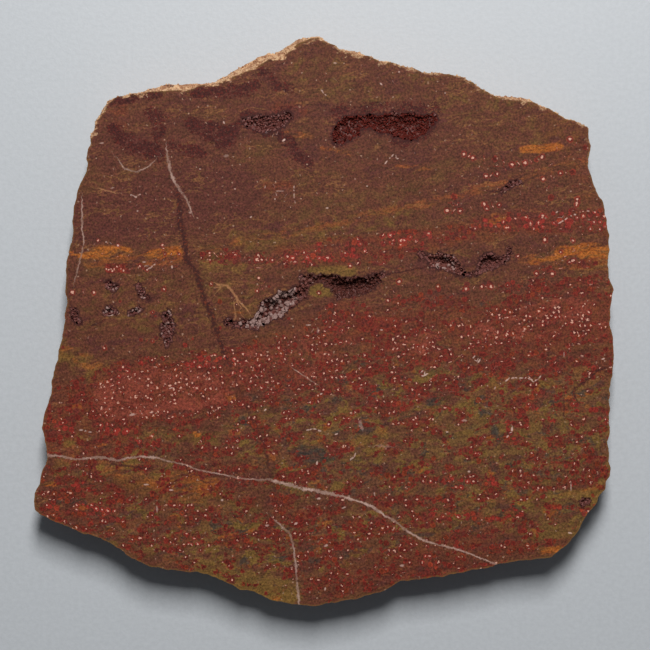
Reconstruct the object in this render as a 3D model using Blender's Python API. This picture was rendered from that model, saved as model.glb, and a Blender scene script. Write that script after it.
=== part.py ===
"""A sawn slab of iron-stained quartz rock, with open hollows lined by crusts of small crystals.

The slab lies on its sawn back. +Z is up, out of the sawn front face. +X runs to the right of the face and
+Y to the edge that keeps its weathered rind. The origin is the middle of the back, at the bottom.
Driving sizes are in millimetres and turned into metres where a mesh is made.
"""

import math

import bmesh
import bpy
from mathutils import Vector, noise

MM = 0.001

# Driving sizes of the slab.
THICKNESS = 10.0
RIM_STEP = 1.7
CHIP_DEPTH = 0.25
CHIP_LENGTH = 2.2
WALL_ROUGHNESS = 0.50
COARSE_LUMP = 5.0
FINE_LUMP = 1.9
WALL_RIB = 0.90
RIB_SPACING = 2.6
SOUTH_UNDERCUT = 2.2
BACK_SLOPE = 0.7

# The rock's bands rise to the right by this share of the run, and stand square to the sawn faces.
BAND_RISE = 0.16

# Heights of the rings down the broken wall, as shares of the thickness, from the front face to the back.
WALL_LEVELS = (1.0, 0.93, 0.80, 0.64, 0.47, 0.30, 0.13, 0.0)

# The slab's rim seen from the front, clockwise from the upper left corner.
RIM = (
    (-46.3, 40.1), (-45.3, 42.1), (-44.6, 43.1), (-43.1, 44.8), (-40.4, 45.3), (-36.7, 46.2),
    (-34.5, 46.9), (-32.8, 47.7), (-31.1, 48.0), (-28.3, 47.7), (-22.7, 48.1), (-18.1, 50.7),
    (-13.5, 53.0), (-11.4, 54.4), (-9.2, 54.2), (-7.7, 55.3), (-6.1, 56.7), (-3.4, 57.2),
    (-0.4, 57.4), (1.8, 55.7), (4.8, 54.5), (7.3, 53.9), (10.7, 52.7), (14.0, 51.8),
    (17.8, 51.1), (19.8, 50.0), (24.4, 49.8), (27.1, 49.4), (29.2, 48.4), (31.1, 47.3),
    (34.4, 45.8), (37.7, 45.1), (40.4, 44.9), (43.0, 43.8), (46.0, 42.8), (49.3, 40.6),
    (52.3, 39.6), (53.4, 38.3), (53.2, 36.5), (54.0, 34.2), (54.0, 32.8), (53.2, 31.7),
    (53.6, 28.8), (54.6, 25.9), (56.3, 22.6), (56.6, 19.2), (57.1, 15.4), (57.0, 11.4),
    (57.8, 5.7), (57.4, 2.5), (57.4, -1.3), (58.2, -5.0), (58.2, -7.1), (57.8, -10.2),
    (57.3, -13.4), (57.3, -18.2), (57.3, -22.2), (56.9, -25.2), (57.2, -28.1), (57.3, -31.0),
    (56.9, -32.5), (55.6, -34.9), (54.4, -36.9), (52.4, -39.6), (51.2, -42.2), (49.1, -44.3),
    (47.4, -46.0), (45.6, -47.4), (39.7, -48.1), (35.6, -48.7), (32.1, -49.7), (28.0, -50.4),
    (23.0, -51.5), (18.4, -52.0), (14.7, -52.5), (12.4, -54.0), (8.4, -55.3), (4.4, -56.3),
    (0.4, -57.0), (-3.5, -57.4), (-7.2, -56.6), (-10.2, -56.3), (-14.1, -54.4), (-17.8, -53.5),
    (-19.6, -52.4), (-25.2, -50.6), (-29.2, -50.2), (-33.2, -49.8), (-36.0, -48.9), (-38.7, -47.8),
    (-41.2, -45.6), (-43.6, -44.3), (-46.7, -43.2), (-49.7, -42.3), (-52.8, -40.7), (-57.3, -38.8),
    (-58.0, -37.7), (-58.2, -35.1), (-57.3, -33.2), (-56.3, -30.3), (-55.5, -27.0), (-55.7, -25.6),
    (-56.4, -21.7), (-56.0, -17.9), (-55.0, -15.8), (-54.5, -12.4), (-53.8, -8.7), (-53.0, -5.7),
    (-52.7, -2.6), (-51.8, 0.4), (-51.6, 3.5), (-51.8, 6.6), (-51.8, 9.6), (-51.5, 13.3),
    (-50.4, 15.8), (-50.2, 20.4), (-49.8, 24.9), (-49.1, 27.0), (-48.0, 29.5), (-47.6, 34.3),
    (-46.6, 38.2),
)

# How far the rind stands out past the front face along the upper edge: (x, width).
RIND = (
    (-47.0, 0.2), (-44.5, 1.2), (-42.0, 0.5), (-36.0, 0.6), (-33.0, 1.8), (-28.5, 1.9), (-25.0, 0.9),
    (-21.0, 1.1), (-15.0, 2.2), (-10.0, 1.9), (-4.0, 1.1), (2.0, 0.5), (6.0, 1.0), (10.0, 0.4),
    (28.0, 0.3), (36.0, 0.9), (44.0, 0.8), (50.0, 0.4),
)
RIND_LOWEST_Y = 30.0
# Level, as a share of the thickness, where the rind stands out furthest.
RIND_LEVEL = 0.80

# Each hollow is a row of stations along its length: (x, y, half width).
HOLLOWS = {
    "west": (
        (-19.6, 0.0, 0.25), (-18.0, -0.8, 0.5), (-16.0, -1.0, 0.6), (-13.8, -0.6, 0.8), (-12.2, 0.8, 1.4),
        (-10.8, 2.0, 2.0), (-9.0, 3.2, 2.0), (-7.0, 4.2, 1.7), (-5.4, 4.9, 1.4), (-4.2, 6.2, 1.0),
        (-3.6, 7.7, 0.5),
    ),
    "centre": (
        (-5.0, 8.7, 0.25), (-3.2, 8.2, 0.7), (-1.2, 8.2, 0.6), (0.6, 8.0, 0.8), (2.2, 7.2, 1.4),
        (4.2, 6.6, 1.9), (6.6, 6.8, 1.8), (8.6, 7.2, 1.4), (10.2, 8.2, 0.9), (12.0, 9.4, 0.3),
    ),
    "east": (
        (18.8, 13.4, 0.2), (20.4, 12.6, 0.4), (21.8, 12.0, 0.8), (23.4, 11.8, 1.4), (25.0, 11.5, 1.6),
        (26.4, 10.5, 1.1), (27.6, 9.5, 0.5), (29.4, 9.1, 0.3),
    ),
    "far_east": (
        (30.2, 9.2, 0.25), (31.2, 10.0, 0.7), (32.2, 11.1, 1.4), (33.4, 11.7, 1.6), (34.6, 11.8, 0.9),
        (35.8, 12.0, 0.5), (36.8, 12.9, 0.4), (37.3, 14.3, 0.2),
    ),
    "upper": (
        (2.4, 35.6, 0.6), (3.6, 37.2, 1.6), (5.2, 38.7, 1.8), (7.2, 39.6, 1.3), (9.6, 39.7, 1.3),
        (11.6, 39.2, 1.8), (13.8, 39.1, 1.9), (16.0, 38.7, 2.4), (18.4, 38.8, 2.1), (20.6, 39.5, 1.3),
        (22.6, 40.4, 0.5),
    ),
    "upper_left": (
        (-16.4, 39.8, 0.5), (-14.0, 39.6, 1.3), (-11.8, 39.1, 1.6), (-9.6, 39.4, 1.3), (-7.8, 40.5, 0.9),
        (-6.8, 41.4, 0.3),
    ),
    "left": (
        (-31.8, 1.6, 0.35), (-31.4, 0.0, 1.0), (-31.3, -1.6, 1.2), (-31.2, -3.6, 0.6), (-31.4, -5.4, 0.25),
    ),
    "left_nick": ((-37.4, 7.2, 0.3), (-36.8, 5.9, 0.6), (-36.2, 4.8, 0.5), (-35.0, 4.2, 0.2)),
    "left_pock": ((-43.6, 6.8, 0.3), (-42.4, 6.6, 0.65), (-41.0, 6.7, 0.3)),
    "rim_nick": ((-50.2, 2.3, 0.3), (-50.1, 0.9, 0.5), (-49.3, -0.1, 0.45), (-48.5, -0.6, 0.2)),
    "low_nick": ((-44.0, 1.2, 0.25), (-42.8, 1.8, 0.65), (-41.4, 1.4, 0.3)),
    "low_pock": ((-39.2, 1.3, 0.3), (-38.0, 1.6, 0.65), (-36.8, 2.4, 0.3)),
    "slit": ((35.4, 25.6, 0.2), (36.8, 26.7, 0.4), (38.1, 27.4, 0.45), (39.5, 27.5, 0.2)),
    "corner": ((51.2, -36.6, 0.3), (52.3, -36.3, 0.65), (53.3, -36.0, 0.35)),
}
# Depth of a hollow under its widest station, and of the ones that are only shallow.
DEPTH_PER_HALF_WIDTH = 1.25
SHALLOW_DEPTH_PER_HALF_WIDTH = 0.55
SHALLOW_HOLLOWS = ("upper", "upper_left")
CRUSTED_HOLLOWS = ("west", "centre", "east", "far_east", "upper")
STATIONS_PER_SPAN = 2
RAGGED_LIP = 0.35
RAGGED_LENGTH = 0.9
CUTTER_TOP = 1.5
# Cross section of a hollow from its left lip to its right one: (share of half width, share of depth).
HOLLOW_SECTION = ((1.0, 0.0), (0.8, 0.55), (0.35, 0.95), (-0.35, 1.0), (-0.8, 0.6), (-1.0, 0.0))

# A crust keeps this gap to its hollow, and its tips stop this far under the front face.
CRUST_GAP = 0.32
LEAST_CRUST_HALF_WIDTH = 0.25
# Cross section of a crust: round its underside from left to right, then back over its bed of crystals.
CRUST_SECTION = (
    (0.72, 0.55), (0.66, 0.72), (0.26, 0.97), (-0.26, 1.0), (-0.66, 0.74), (-0.72, 0.55), (-0.24, 0.50),
    (0.24, 0.50),
)
CRYSTAL_HEIGHT = 0.42
CRYSTAL_SLENDERNESS = 0.6
CRYSTAL_HEADROOM = 0.45
LEAST_CRYSTAL_FACING = 0.8

STONE = ("stone", (0.115, 0.040, 0.022), 0.45)
DRUSE = ("druse", (0.160, 0.110, 0.105), 0.25)
DARK_DRUSE = ("dark_druse", (0.050, 0.014, 0.016), 0.40)


def material(spec):
    """A plain Principled material from (name, colour, roughness)."""
    name, colour, roughness = spec
    made = bpy.data.materials.get(name) or bpy.data.materials.new(name)
    made.use_nodes = True
    shader = made.node_tree.nodes["Principled BSDF"]
    shader.inputs["Base Color"].default_value = (*colour, 1.0)
    shader.inputs["Roughness"].default_value = roughness
    shader.inputs["Metallic"].default_value = 0.0
    return made


def add_object(name, points, faces, spec):
    """A named object from points in millimetres, closed and facing out."""
    mesh = bpy.data.meshes.new(name)
    mesh.from_pydata([Vector(p) * MM for p in points], [], faces)
    work = bmesh.new()
    work.from_mesh(mesh)
    bmesh.ops.recalc_face_normals(work, faces=work.faces)
    work.to_mesh(mesh)
    work.free()
    made = bpy.data.objects.new(name, mesh)
    made.data.materials.append(material(spec))
    bpy.context.scene.collection.objects.link(made)
    return made


def along(knots, x):
    """The value at x on a line through (x, value) knots."""
    if x <= knots[0][0]:
        return knots[0][1]
    for (x0, v0), (x1, v1) in zip(knots, knots[1:]):
        if x <= x1:
            return v0 + (v1 - v0) * (x - x0) / (x1 - x0)
    return knots[-1][1]


def evenly(points, step):
    """A closed line through points, cut into equal steps of about the given length."""
    lengths = [math.dist(a, b) for a, b in zip(points, points[1:] + points[:1])]
    count = round(sum(lengths) / step)
    spacing = sum(lengths) / count
    made = []
    leg, walked = 0, 0.0
    for k in range(count):
        target = k * spacing
        while walked + lengths[leg] < target:
            walked += lengths[leg]
            leg += 1
        a, b = Vector(points[leg]), Vector(points[(leg + 1) % len(points)])
        made.append(a.lerp(b, (target - walked) / lengths[leg]))
    return made


def outward(line, k):
    """The outward direction of a clockwise closed line at its point k."""
    run = line[(k + 1) % len(line)] - line[k - 1]
    return Vector((-run.y, run.x)).normalized()


def broken(x, y, z):
    """Rough broken rock, about -1 to 1: coarse lumps with finer ones on them."""
    coarse = noise.noise(Vector((x, y, z * 1.6)) / COARSE_LUMP)
    fine = noise.noise(Vector((x, y, z * 1.3)) / FINE_LUMP)
    return 1.3 * coarse + 0.7 * fine


def band_ribs(x, y):
    """Upright ribs, 0 to 1, where the bands of the rock come out through a broken end."""
    return abs(noise.noise(Vector(((y - BAND_RISE * x) / RIB_SPACING, 0.5, 0.0))))


def rind_width(point):
    """How far the rind shows past the front face beside this point of the rim."""
    return along(RIND, point.x) if point.y > RIND_LOWEST_Y else 0.0


def wall_inset(point, away, level):
    """How far inside the rim the wall lies at this level, from 1 at the front face to 0 at the back."""
    rind = rind_width(point)
    facing_south = max(0.0, -away.y)
    flare = rind * max(0.0, (level - RIND_LEVEL) / (1.0 - RIND_LEVEL))
    undercut = SOUTH_UNDERCUT * facing_south * (1.0 - level) ** 0.7
    slope = BACK_SLOPE * (1.0 - level) * (1.0 - facing_south)
    rough = WALL_ROUGHNESS * (1.0 + broken(point.x, point.y, THICKNESS * level))
    ribs = WALL_RIB * abs(away.x) * band_ribs(point.x, point.y)
    below_face = (1.0 - level) ** 0.5
    return flare + undercut + slope + (rough + ribs) * below_face


def matrix_slab():
    """The stone: two sawn faces joined by a broken wall, with its hollows cut from the front."""
    rim = evenly(list(RIM), RIM_STEP)
    around = len(rim)
    points, faces = [], []
    for level in WALL_LEVELS:
        for k, point in enumerate(rim):
            away = outward(rim, k)
            chip = CHIP_DEPTH * abs(noise.noise(Vector((point.x, point.y, 0.0)) / CHIP_LENGTH))
            place = point - away * (wall_inset(point, away, level) + chip)
            points.append((place.x, place.y, THICKNESS * level))
    for ring in range(len(WALL_LEVELS) - 1):
        for k in range(around):
            after = (k + 1) % around
            upper, lower = ring * around, (ring + 1) * around
            faces.append((upper + k, upper + after, lower + after, lower + k))
    faces.append(tuple(reversed(range(around))))
    faces.append(tuple(range((len(WALL_LEVELS) - 1) * around, len(WALL_LEVELS) * around)))
    slab = add_object("matrix", points, faces, STONE)
    for name in HOLLOWS:
        cut = slab.modifiers.new("hollow_" + name, "BOOLEAN")
        cut.operation = "DIFFERENCE"
        cut.solver = "EXACT"
        cut.object = hollow_cutter(name)
    return slab


def stations(name):
    """A hollow's stations with more set between them on a smooth line: (place, across, left, right)."""
    given = [Vector(s) for s in HOLLOWS[name]]
    padded = [2 * given[0] - given[1], *given, 2 * given[-1] - given[-2]]
    line = []
    for k in range(1, len(padded) - 2):
        before, a, b, after = padded[k - 1 : k + 3]
        for part in range(STATIONS_PER_SPAN):
            t = part / STATIONS_PER_SPAN
            smooth = (
                2 * a
                + (b - before) * t
                + (2 * before - 5 * a + 4 * b - after) * t**2
                + (3 * a - before - 3 * b + after) * t**3
            ) / 2
            line.append(smooth)
    line.append(given[-1])
    made = []
    for k, here in enumerate(line):
        run = (line[min(k + 1, len(line) - 1)] - line[max(k - 1, 0)]).to_2d().normalized()
        across = Vector((-run.y, run.x))
        left, right = (
            here.z * (1.0 + RAGGED_LIP * noise.noise(Vector((here.x, here.y, side)) / RAGGED_LENGTH))
            for side in (4.0, 11.0)
        )
        made.append((here.to_2d(), across, left, right))
    return made


def depth_ratio(name):
    """How deep this hollow is for its half width."""
    return SHALLOW_DEPTH_PER_HALF_WIDTH if name in SHALLOW_HOLLOWS else DEPTH_PER_HALF_WIDTH


def cross_section(shape, left, right, depth):
    """Points (across, up) of a cross section with these half widths and this depth."""
    return [(share * (left if share > 0 else right), -down * depth) for share, down in shape]


def sweep(rows):
    """Points and faces of a closed bar whose cross sections are rows of points, all of one length."""
    size = len(rows[0])
    points = [p for row in rows for p in row]
    faces = [
        (a * size + k, a * size + (k + 1) % size, (a + 1) * size + (k + 1) % size, (a + 1) * size + k)
        for a in range(len(rows) - 1)
        for k in range(size)
    ]
    faces.append(tuple(range(size)))
    faces.append(tuple(reversed(range((len(rows) - 1) * size, len(rows) * size))))
    return points, faces


def hollow_cutter(name):
    """The space of one hollow, standing proud of the front face so that it cuts an open mouth."""
    rows = []
    for place, across, left, right in stations(name):
        below = cross_section(HOLLOW_SECTION, left, right, depth_ratio(name) * (left + right) / 2)
        section = [(left, CUTTER_TOP), *below, (-right, CUTTER_TOP)]
        rows.append([(*(place + across * off), THICKNESS + height) for off, height in section])
    points, faces = sweep(rows)
    cutter = add_object("cutter_" + name, points, faces, STONE)
    cutter.hide_render = True
    cutter.display_type = "WIRE"
    return cutter


def druse_crust(name, spec):
    """The crust of crystals in one hollow: a bed that follows the hollow's floor, set with pyramids."""
    rows = []
    for place, across, left, right in stations(name):
        left, right = left - CRUST_GAP, right - CRUST_GAP
        if min(left, right) < LEAST_CRUST_HALF_WIDTH:
            continue
        section = cross_section(CRUST_SECTION, left, right, depth_ratio(name) * (left + right) / 2)
        rows.append([(*(place + across * off), THICKNESS + height) for off, height in section])
    points, faces = sweep(rows)
    crust = add_object("druse_" + name, points, faces, spec)
    grow_pyramids(crust)
    return crust


def grow_pyramids(crust):
    """Raises a pointed crystal on each upward face of a crust."""
    work = bmesh.new()
    work.from_mesh(crust.data)
    upward = [f for f in work.faces if f.normal.z > LEAST_CRYSTAL_FACING and len(f.verts) == 4]
    for face in upward:
        centre = face.calc_center_median() / MM
        tall = 0.75 + 0.55 * noise.noise(centre * 1.7)
        headroom = CRYSTAL_HEADROOM * (THICKNESS - centre.z)
        slender = CRYSTAL_SLENDERNESS * math.sqrt(face.calc_area()) / MM
        reach = min(CRYSTAL_HEIGHT * tall, slender, headroom)
        bmesh.ops.poke(work, faces=[face], offset=reach * MM)
    work.to_mesh(crust.data)
    work.free()


def clear_scene():
    for thing in list(bpy.data.objects):
        bpy.data.objects.remove(thing)


def main():
    clear_scene()
    matrix_slab()
    for name in CRUSTED_HOLLOWS:
        druse_crust(name, DARK_DRUSE if name in SHALLOW_HOLLOWS else DRUSE)


main()
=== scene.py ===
"""Looks of a sawn slab of iron-stained quartz rock: its banded, grainy sawn face with veins, its broken rim
with a pale rind, and the crusts of small crystals in its hollows.

The slab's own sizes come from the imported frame. Places on it are in millimetres from its middle, with +X to
the right of the sawn face and +Y to the edge that keeps its rind. What repeats is made by Geometry Nodes.
"""

import math

import bmesh
import bpy
import numpy as np
from bpy.props import FloatProperty, FloatVectorProperty, IntProperty, PointerProperty
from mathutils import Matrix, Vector, geometry, kdtree, noise


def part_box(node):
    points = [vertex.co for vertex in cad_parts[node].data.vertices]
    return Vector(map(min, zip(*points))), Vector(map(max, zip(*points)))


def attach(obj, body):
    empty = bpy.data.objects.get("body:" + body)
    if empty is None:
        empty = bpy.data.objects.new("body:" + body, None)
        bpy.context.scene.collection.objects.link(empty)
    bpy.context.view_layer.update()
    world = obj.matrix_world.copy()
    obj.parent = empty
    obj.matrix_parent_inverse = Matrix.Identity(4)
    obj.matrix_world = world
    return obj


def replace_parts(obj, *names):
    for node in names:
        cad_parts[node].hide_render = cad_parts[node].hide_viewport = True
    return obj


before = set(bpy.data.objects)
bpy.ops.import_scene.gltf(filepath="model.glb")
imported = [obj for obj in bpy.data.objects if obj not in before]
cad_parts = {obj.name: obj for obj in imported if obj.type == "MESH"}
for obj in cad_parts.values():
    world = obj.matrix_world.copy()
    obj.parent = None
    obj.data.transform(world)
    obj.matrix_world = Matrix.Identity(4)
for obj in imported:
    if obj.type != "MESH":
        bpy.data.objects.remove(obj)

bl_info = {
    "name": "Sawn slab of iron-stained quartz",
    "version": (1, 0, 0),
    "blender": (4, 5, 0),
    "location": "3D Viewport > Sidebar > Slab",
    "description": "Builds a sawn, banded slab of iron-stained quartz rock with hollows of small crystals",
    "category": "Add Mesh",
}

MM = 0.001
FLAT = 0.02 * MM
LOW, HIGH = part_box("matrix")
THICKNESS = HIGH.z - LOW.z
# The bands of the rock rise to the right by this share of the run.
BAND_RISE = 0.16
QUARTZ_IOR = 1.544

# Each stroke is a strength, then stations (x, y, half width) along it, in millimetres.
GRAINS = (
    (0.8, (-54.8, -19.6, 4.4), (-42.8, -15.6, 6), (-30.8, -14.4, 6.4), (-20.8, -13.6, 7.2),
     (-8.8, -11.6, 7.2), (2.2, -6, 6.8), (15.2, -4, 6.8), (29.2, -1.6, 6.8), (43.2, 0.4, 6.8),
     (56.4, 1.6, 6.4)),
    (0.5, (-56, -26, 6.4), (-40.8, -25.2, 6.8), (-24.8, -24, 7.2), (-8.8, -21.6, 7.2), (7.2, -18.4, 7.6),
     (23.2, -16.4, 7.6), (39.2, -14.8, 8), (56.4, -12.8, 8)),
    (0.56, (-52.8, -36, 5.6), (-36.8, -39, 7.6), (-20.8, -40, 8), (-4.8, -39, 9), (11.2, -35.6, 9),
     (27.2, -32, 9), (43.2, -27, 9.6), (54.4, -25, 9)),
    (0.44, (-24.8, -47, 4.8), (-8.8, -50, 6), (7.2, -50, 6), (23.2, -46, 6), (39.2, -42, 5.2),
     (49.2, -37, 5.2)),
    (0.35, (-23.6, 12.4, 1.4), (-12, 12.4, 1.4)),
    (1.25, (-6.4, 12.6, 1.8), (-0.4, 13.6, 2.4), (6.4, 14, 2.4)),
    (0.8, (8.4, 12.8, 1.8), (11.6, 13, 1.6)),
    (1.25, (12.8, 15.8, 1.8), (19.2, 16, 1.8), (22.4, 16.8, 1.6)),
    (0.75, (24.4, 17.4, 1.2), (29.8, 17.4, 1.2)),
    (1.25, (31, 18.8, 1.4), (35.2, 19.6, 1.6), (39.4, 19.6, 1.6)),
    (1.25, (41.2, 19.6, 1.6), (48.4, 20, 2), (56.4, 20, 2)),
    (0.5, (-43.8, 10.4, 0.8), (-39.2, 10.4, 0.8)),
    (0.5, (-36.8, 10.8, 0.8), (-33.6, 10.8, 0.6)),
    (0.4, (-31.2, 10.8, 0.6), (-29.8, 10.8, 0.6)),
    (0.75, (14.8, 4, 1.2), (21.2, 3.6, 1), (26.2, 4.4, 1.2)),
    (0.6, (2.4, 1.6, 2), (5.6, 3.6, 1.2)),
    (0.5, (39.2, 4, 2), (47.2, 5.6, 2.4), (56.4, 4.8, 2)),
    (0.5, (42.8, 9.6, 1), (50.2, 10.8, 1), (54.8, 11.6, 0.8)),
    (0.08, (-40.8, 4, 6), (-24.8, -2, 5.2), (19.2, 6, 4), (47.2, 8, 4.8)),
    (1.1, (-44, -15.2, 1), (-42.4, -12.8, 1.4), (-40, -10, 1.2), (-36.4, -8.8, 1)),
    (1.15, (-27.2, -9.2, 1.2), (-23.6, -8, 1.6), (-19.2, -8, 2), (-17.2, -10.4, 1.6)),
    (1.1, (-44, -21.2, 1.2), (-40.4, -22.4, 1.6), (-37.2, -24, 1.2)),
    (1.1, (-35.2, -24, 1.2), (-32.8, -23.2, 1.2), (-29.6, -22, 0.8)),
    (1.05, (-54.4, -20.8, 1.2), (-50.8, -22, 1.2)),
    (1.1, (41.6, -17.6, 1.2), (44.4, -19.2, 1.6), (45.6, -20.8, 1)),
    (1.1, (50, -16.8, 1.2), (53.2, -18.4, 1.6), (56, -19.2, 1.4)),
    (1.1, (36.4, -20.8, 1), (37.6, -23.2, 1.4)),
    (1.1, (24.8, -32.4, 1.6), (28.4, -32.8, 1.6)),
    (1.1, (32.4, -32.8, 1.2), (34, -32.4, 1.2)),
    (1.1, (20.4, -33.2, 1.2), (22, -33.2, 1)),
    (1.05, (28, -26.4, 1), (30.8, -26.4, 1)),
    (1.05, (20, -38.4, 1), (25.2, -39, 1.2), (33.2, -39.2, 1.2), (39.6, -38.4, 1.2)),
    (1.05, (46.4, -37.6, 0.8), (52, -38.6, 1)),
    (1.1, (20, -47.2, 1.6), (21.6, -49.2, 1.6)),
    (1.1, (-54.8, -37.6, 1.2), (-48, -37.6, 1.6), (-40.8, -39.2, 1.6)),
    (1.1, (-51.6, -32.8, 0.8), (-47.2, -33.2, 1)),
    (1.05, (-29.6, -42.4, 1.2), (-24.8, -45, 1.2)),
)
ROSE = (
    (1, (-42.4, -15.6, 4.4), (-32.8, -14, 5.4), (-23.2, -14.4, 4)),
    (0.74, (35.2, -1.2, 3.2), (47.2, 0.4, 4), (57.6, 1.2, 4)),
    (0.6, (15.6, -5.6, 2.8), (30.8, -2.8, 3)),
    (0.5, (-16.8, -11.2, 6), (1.2, -6, 6.4)),
    (0.3, (-44.8, 10.4, 0.8), (-29.8, 10.8, 0.8)),
    (0.3, (-52.8, -36, 4.8), (-38.8, -39, 5.2), (-26.8, -42, 4.8)),
    (0.2, (23.2, -32, 6), (47.2, -30, 6)),
    (0.22, (-4.8, -48, 6), (19.2, -45, 5.2)),
    (0.24, (-16.8, -20, 6), (19.2, -18, 7.2)),
    (0.26, (-6.4, 12.6, 1.8), (6.4, 14, 2.4)),
    (0.26, (12.8, 15.8, 1.8), (22.4, 16.8, 1.6)),
    (0.26, (31, 18.8, 1.4), (56.4, 20, 2)),
)
SCARLET = (
    (0.95, (7.6, -1.2, 1.8), (14, -0.8, 2)),
    (0.75, (-42.4, -14.8, 5.2), (-32.8, -14, 5.6), (-22.4, -13.6, 4.4)),
    (0.65, (35.2, -2, 5.2), (47.2, -0.8, 5.6), (57.2, 0.4, 5.2)),
    (0.5, (-16.8, -10.4, 5.2), (-4.8, -6, 5.2), (5.2, -2, 5.6), (19.2, -3, 5.6), (31.2, -2, 5.2)),
    (0.5, (-8, 12.8, 2.8), (6.4, 14, 3), (22.4, 16.4, 2.6), (39.2, 19.6, 2.6), (56.4, 19.6, 2.8)),
    (0.45, (-54.4, -16, 4.4), (-50.8, -24, 6), (-42.8, -22, 6)),
    (0.4, (-0.8, -49, 5.2), (19.2, -48, 5.2), (35.2, -44, 3.6)),
    (0.35, (-40.8, -36, 6.8), (-24.8, -36, 6)),
    (0.35, (31.2, -10, 7.2), (47.2, -8, 8), (56.4, -8, 6)),
    (0.3, (47.2, 40, 5), (54.2, 26, 4)),
    (0.7, (-11.8, 26.6, 1), (-6.8, 27, 0.8)),
    (0.4, (-41.2, 42, 2), (-40.8, 37, 1.6)),
    (0.5, (-9.6, 42, 2.8), (-4.8, 42, 1.6)),
)
PLUM = (
    (0.8, (-47.6, 21, 4), (-38.8, 21.6, 6.8), (-26.8, 24.8, 7.6), (-17.6, 25.6, 5.2)),
    (0.5, (-42.8, 34, 5.2), (-32.8, 38, 6), (-20.8, 36, 5.2)),
    (0.35, (-16.8, 42, 6), (-4.8, 38, 4.8)),
    (0.4, (3.2, 34, 4), (23.2, 36, 4.8)),
    (0.4, (29.2, 24, 4), (47.2, 24.8, 4)),
    (0.45, (-49.6, 10, 2), (-50, 4, 2.4), (-50.8, -2, 2)),
    (0.4, (-20.8, -20, 6), (-12.8, -16, 6)),
    (0.5, (-54.8, -35, 2.4), (-51.6, -36, 2.8)),
    (0.8, (48.6, 4.8, 1), (49.8, 4.8, 1)),
    (0.5, (32.4, -6, 1.6), (35.2, -6.4, 1.2)),
    (0.4, (47.2, 18, 1), (55.2, 17.6, 0.8)),
)
OLIVE = (
    (0.9, (31.6, -26, 1.6), (46.4, -25.6, 1.8)),
    (0.8, (27.2, -36, 1.6), (55.2, -35.6, 1.8)),
    (0.85, (41.6, -42, 2), (50.8, -41.2, 2.2)),
    (0.7, (-24.8, -42.8, 2), (-18.8, -42.4, 2)),
    (0.9, (-23.6, -49.6, 2.4), (-14.8, -53.2, 3.2), (-7.2, -54.4, 2.8)),
    (0.7, (-2.4, 10, 1), (5.6, 9.8, 1.2)),
    (0.9, (-2.4, 5.8, 1), (0.4, 6, 1.4)),
    (0.3, (-38.8, 4, 6), (-26.8, 2, 5.6), (-16.8, 4, 4.8)),
    (0.35, (-16.8, 16, 2.8), (1.2, 17.6, 2.4), (15.2, 21, 2.4)),
    (0.5, (27.2, -20, 4), (47.2, -18, 5.2)),
    (0.5, (1.2, -26, 4.8), (19.2, -24, 6)),
    (0.45, (15.2, -32, 4), (29.2, -30, 4.8)),
    (0.5, (-40.8, -30, 2.8), (-24.8, -36, 4), (-14.8, -40, 3.6)),
    (0.8, (-23.8, -40.8, 1.2), (-21.6, -42.4, 2), (-19.6, -44.4, 1.2)),
    (0.5, (-38, -40.8, 1), (-35.6, -40.4, 0.8)),
    (0.6, (-35.2, -39.2, 0.8), (-33.6, -39.6, 1)),
    (0.6, (51.2, -16, 2), (55.2, -13, 1.6)),
    (0.6, (-18.4, -22.4, 1), (-16.8, -23.2, 0.8)),
    (0.25, (19.2, 14, 2), (29.2, 12.4, 1.6)),
    (0.5, (-22.8, 11.6, 2.4), (-16.8, 10.4, 1.6)),
    (0.25, (15.2, 52, 4), (29.2, 44, 5.6), (47.2, 38, 5.2)),
    (0.2, (-4.8, 52, 4.8), (11.2, 44, 5.6)),
    (0.6, (25.2, -18, 3.2), (39.2, -15, 3.6), (53.2, -12, 3.2)),
    (0.7, (29.2, -27.2, 1.8), (43.2, -25.2, 2.4), (56.4, -22, 2.4)),
    (0.55, (21.2, -24, 3.2), (39.2, -30, 3.6), (55.2, -29.2, 3.2)),
    (0.5, (19.2, -40, 3.2), (39.2, -36, 3.6)),
    (0.7, (39.2, -37, 1.6), (54.4, -36, 2)),
    (0.55, (-16.8, -22, 3.6), (1.2, -22, 3.6)),
    (0.5, (-52.8, -30, 1.6), (-28.8, -32, 2)),
    (0.5, (-28.8, -14.6, 1.2), (-25.2, -15.6, 1.2)),
    (0.6, (52.8, -36, 1.6), (55.2, -32, 1.6)),
    (0.45, (-36.8, -23.2, 1.2), (-16.8, -24, 1.6)),
    (0.9, (24.6, -24.4, 0.6), (30.2, -22.8, 0.6), (35.6, -21, 0.6)),
    (0.95, (30.6, -26.6, 1), (39.2, -26, 1.2), (47.2, -24.8, 1)),
    (0.95, (51.2, -24.6, 0.6), (56.6, -22.2, 0.8)),
    (0.45, (-52.4, -6, 2.4), (-45.6, -10.4, 2.8), (-44.8, -14, 2)),
)
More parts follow.
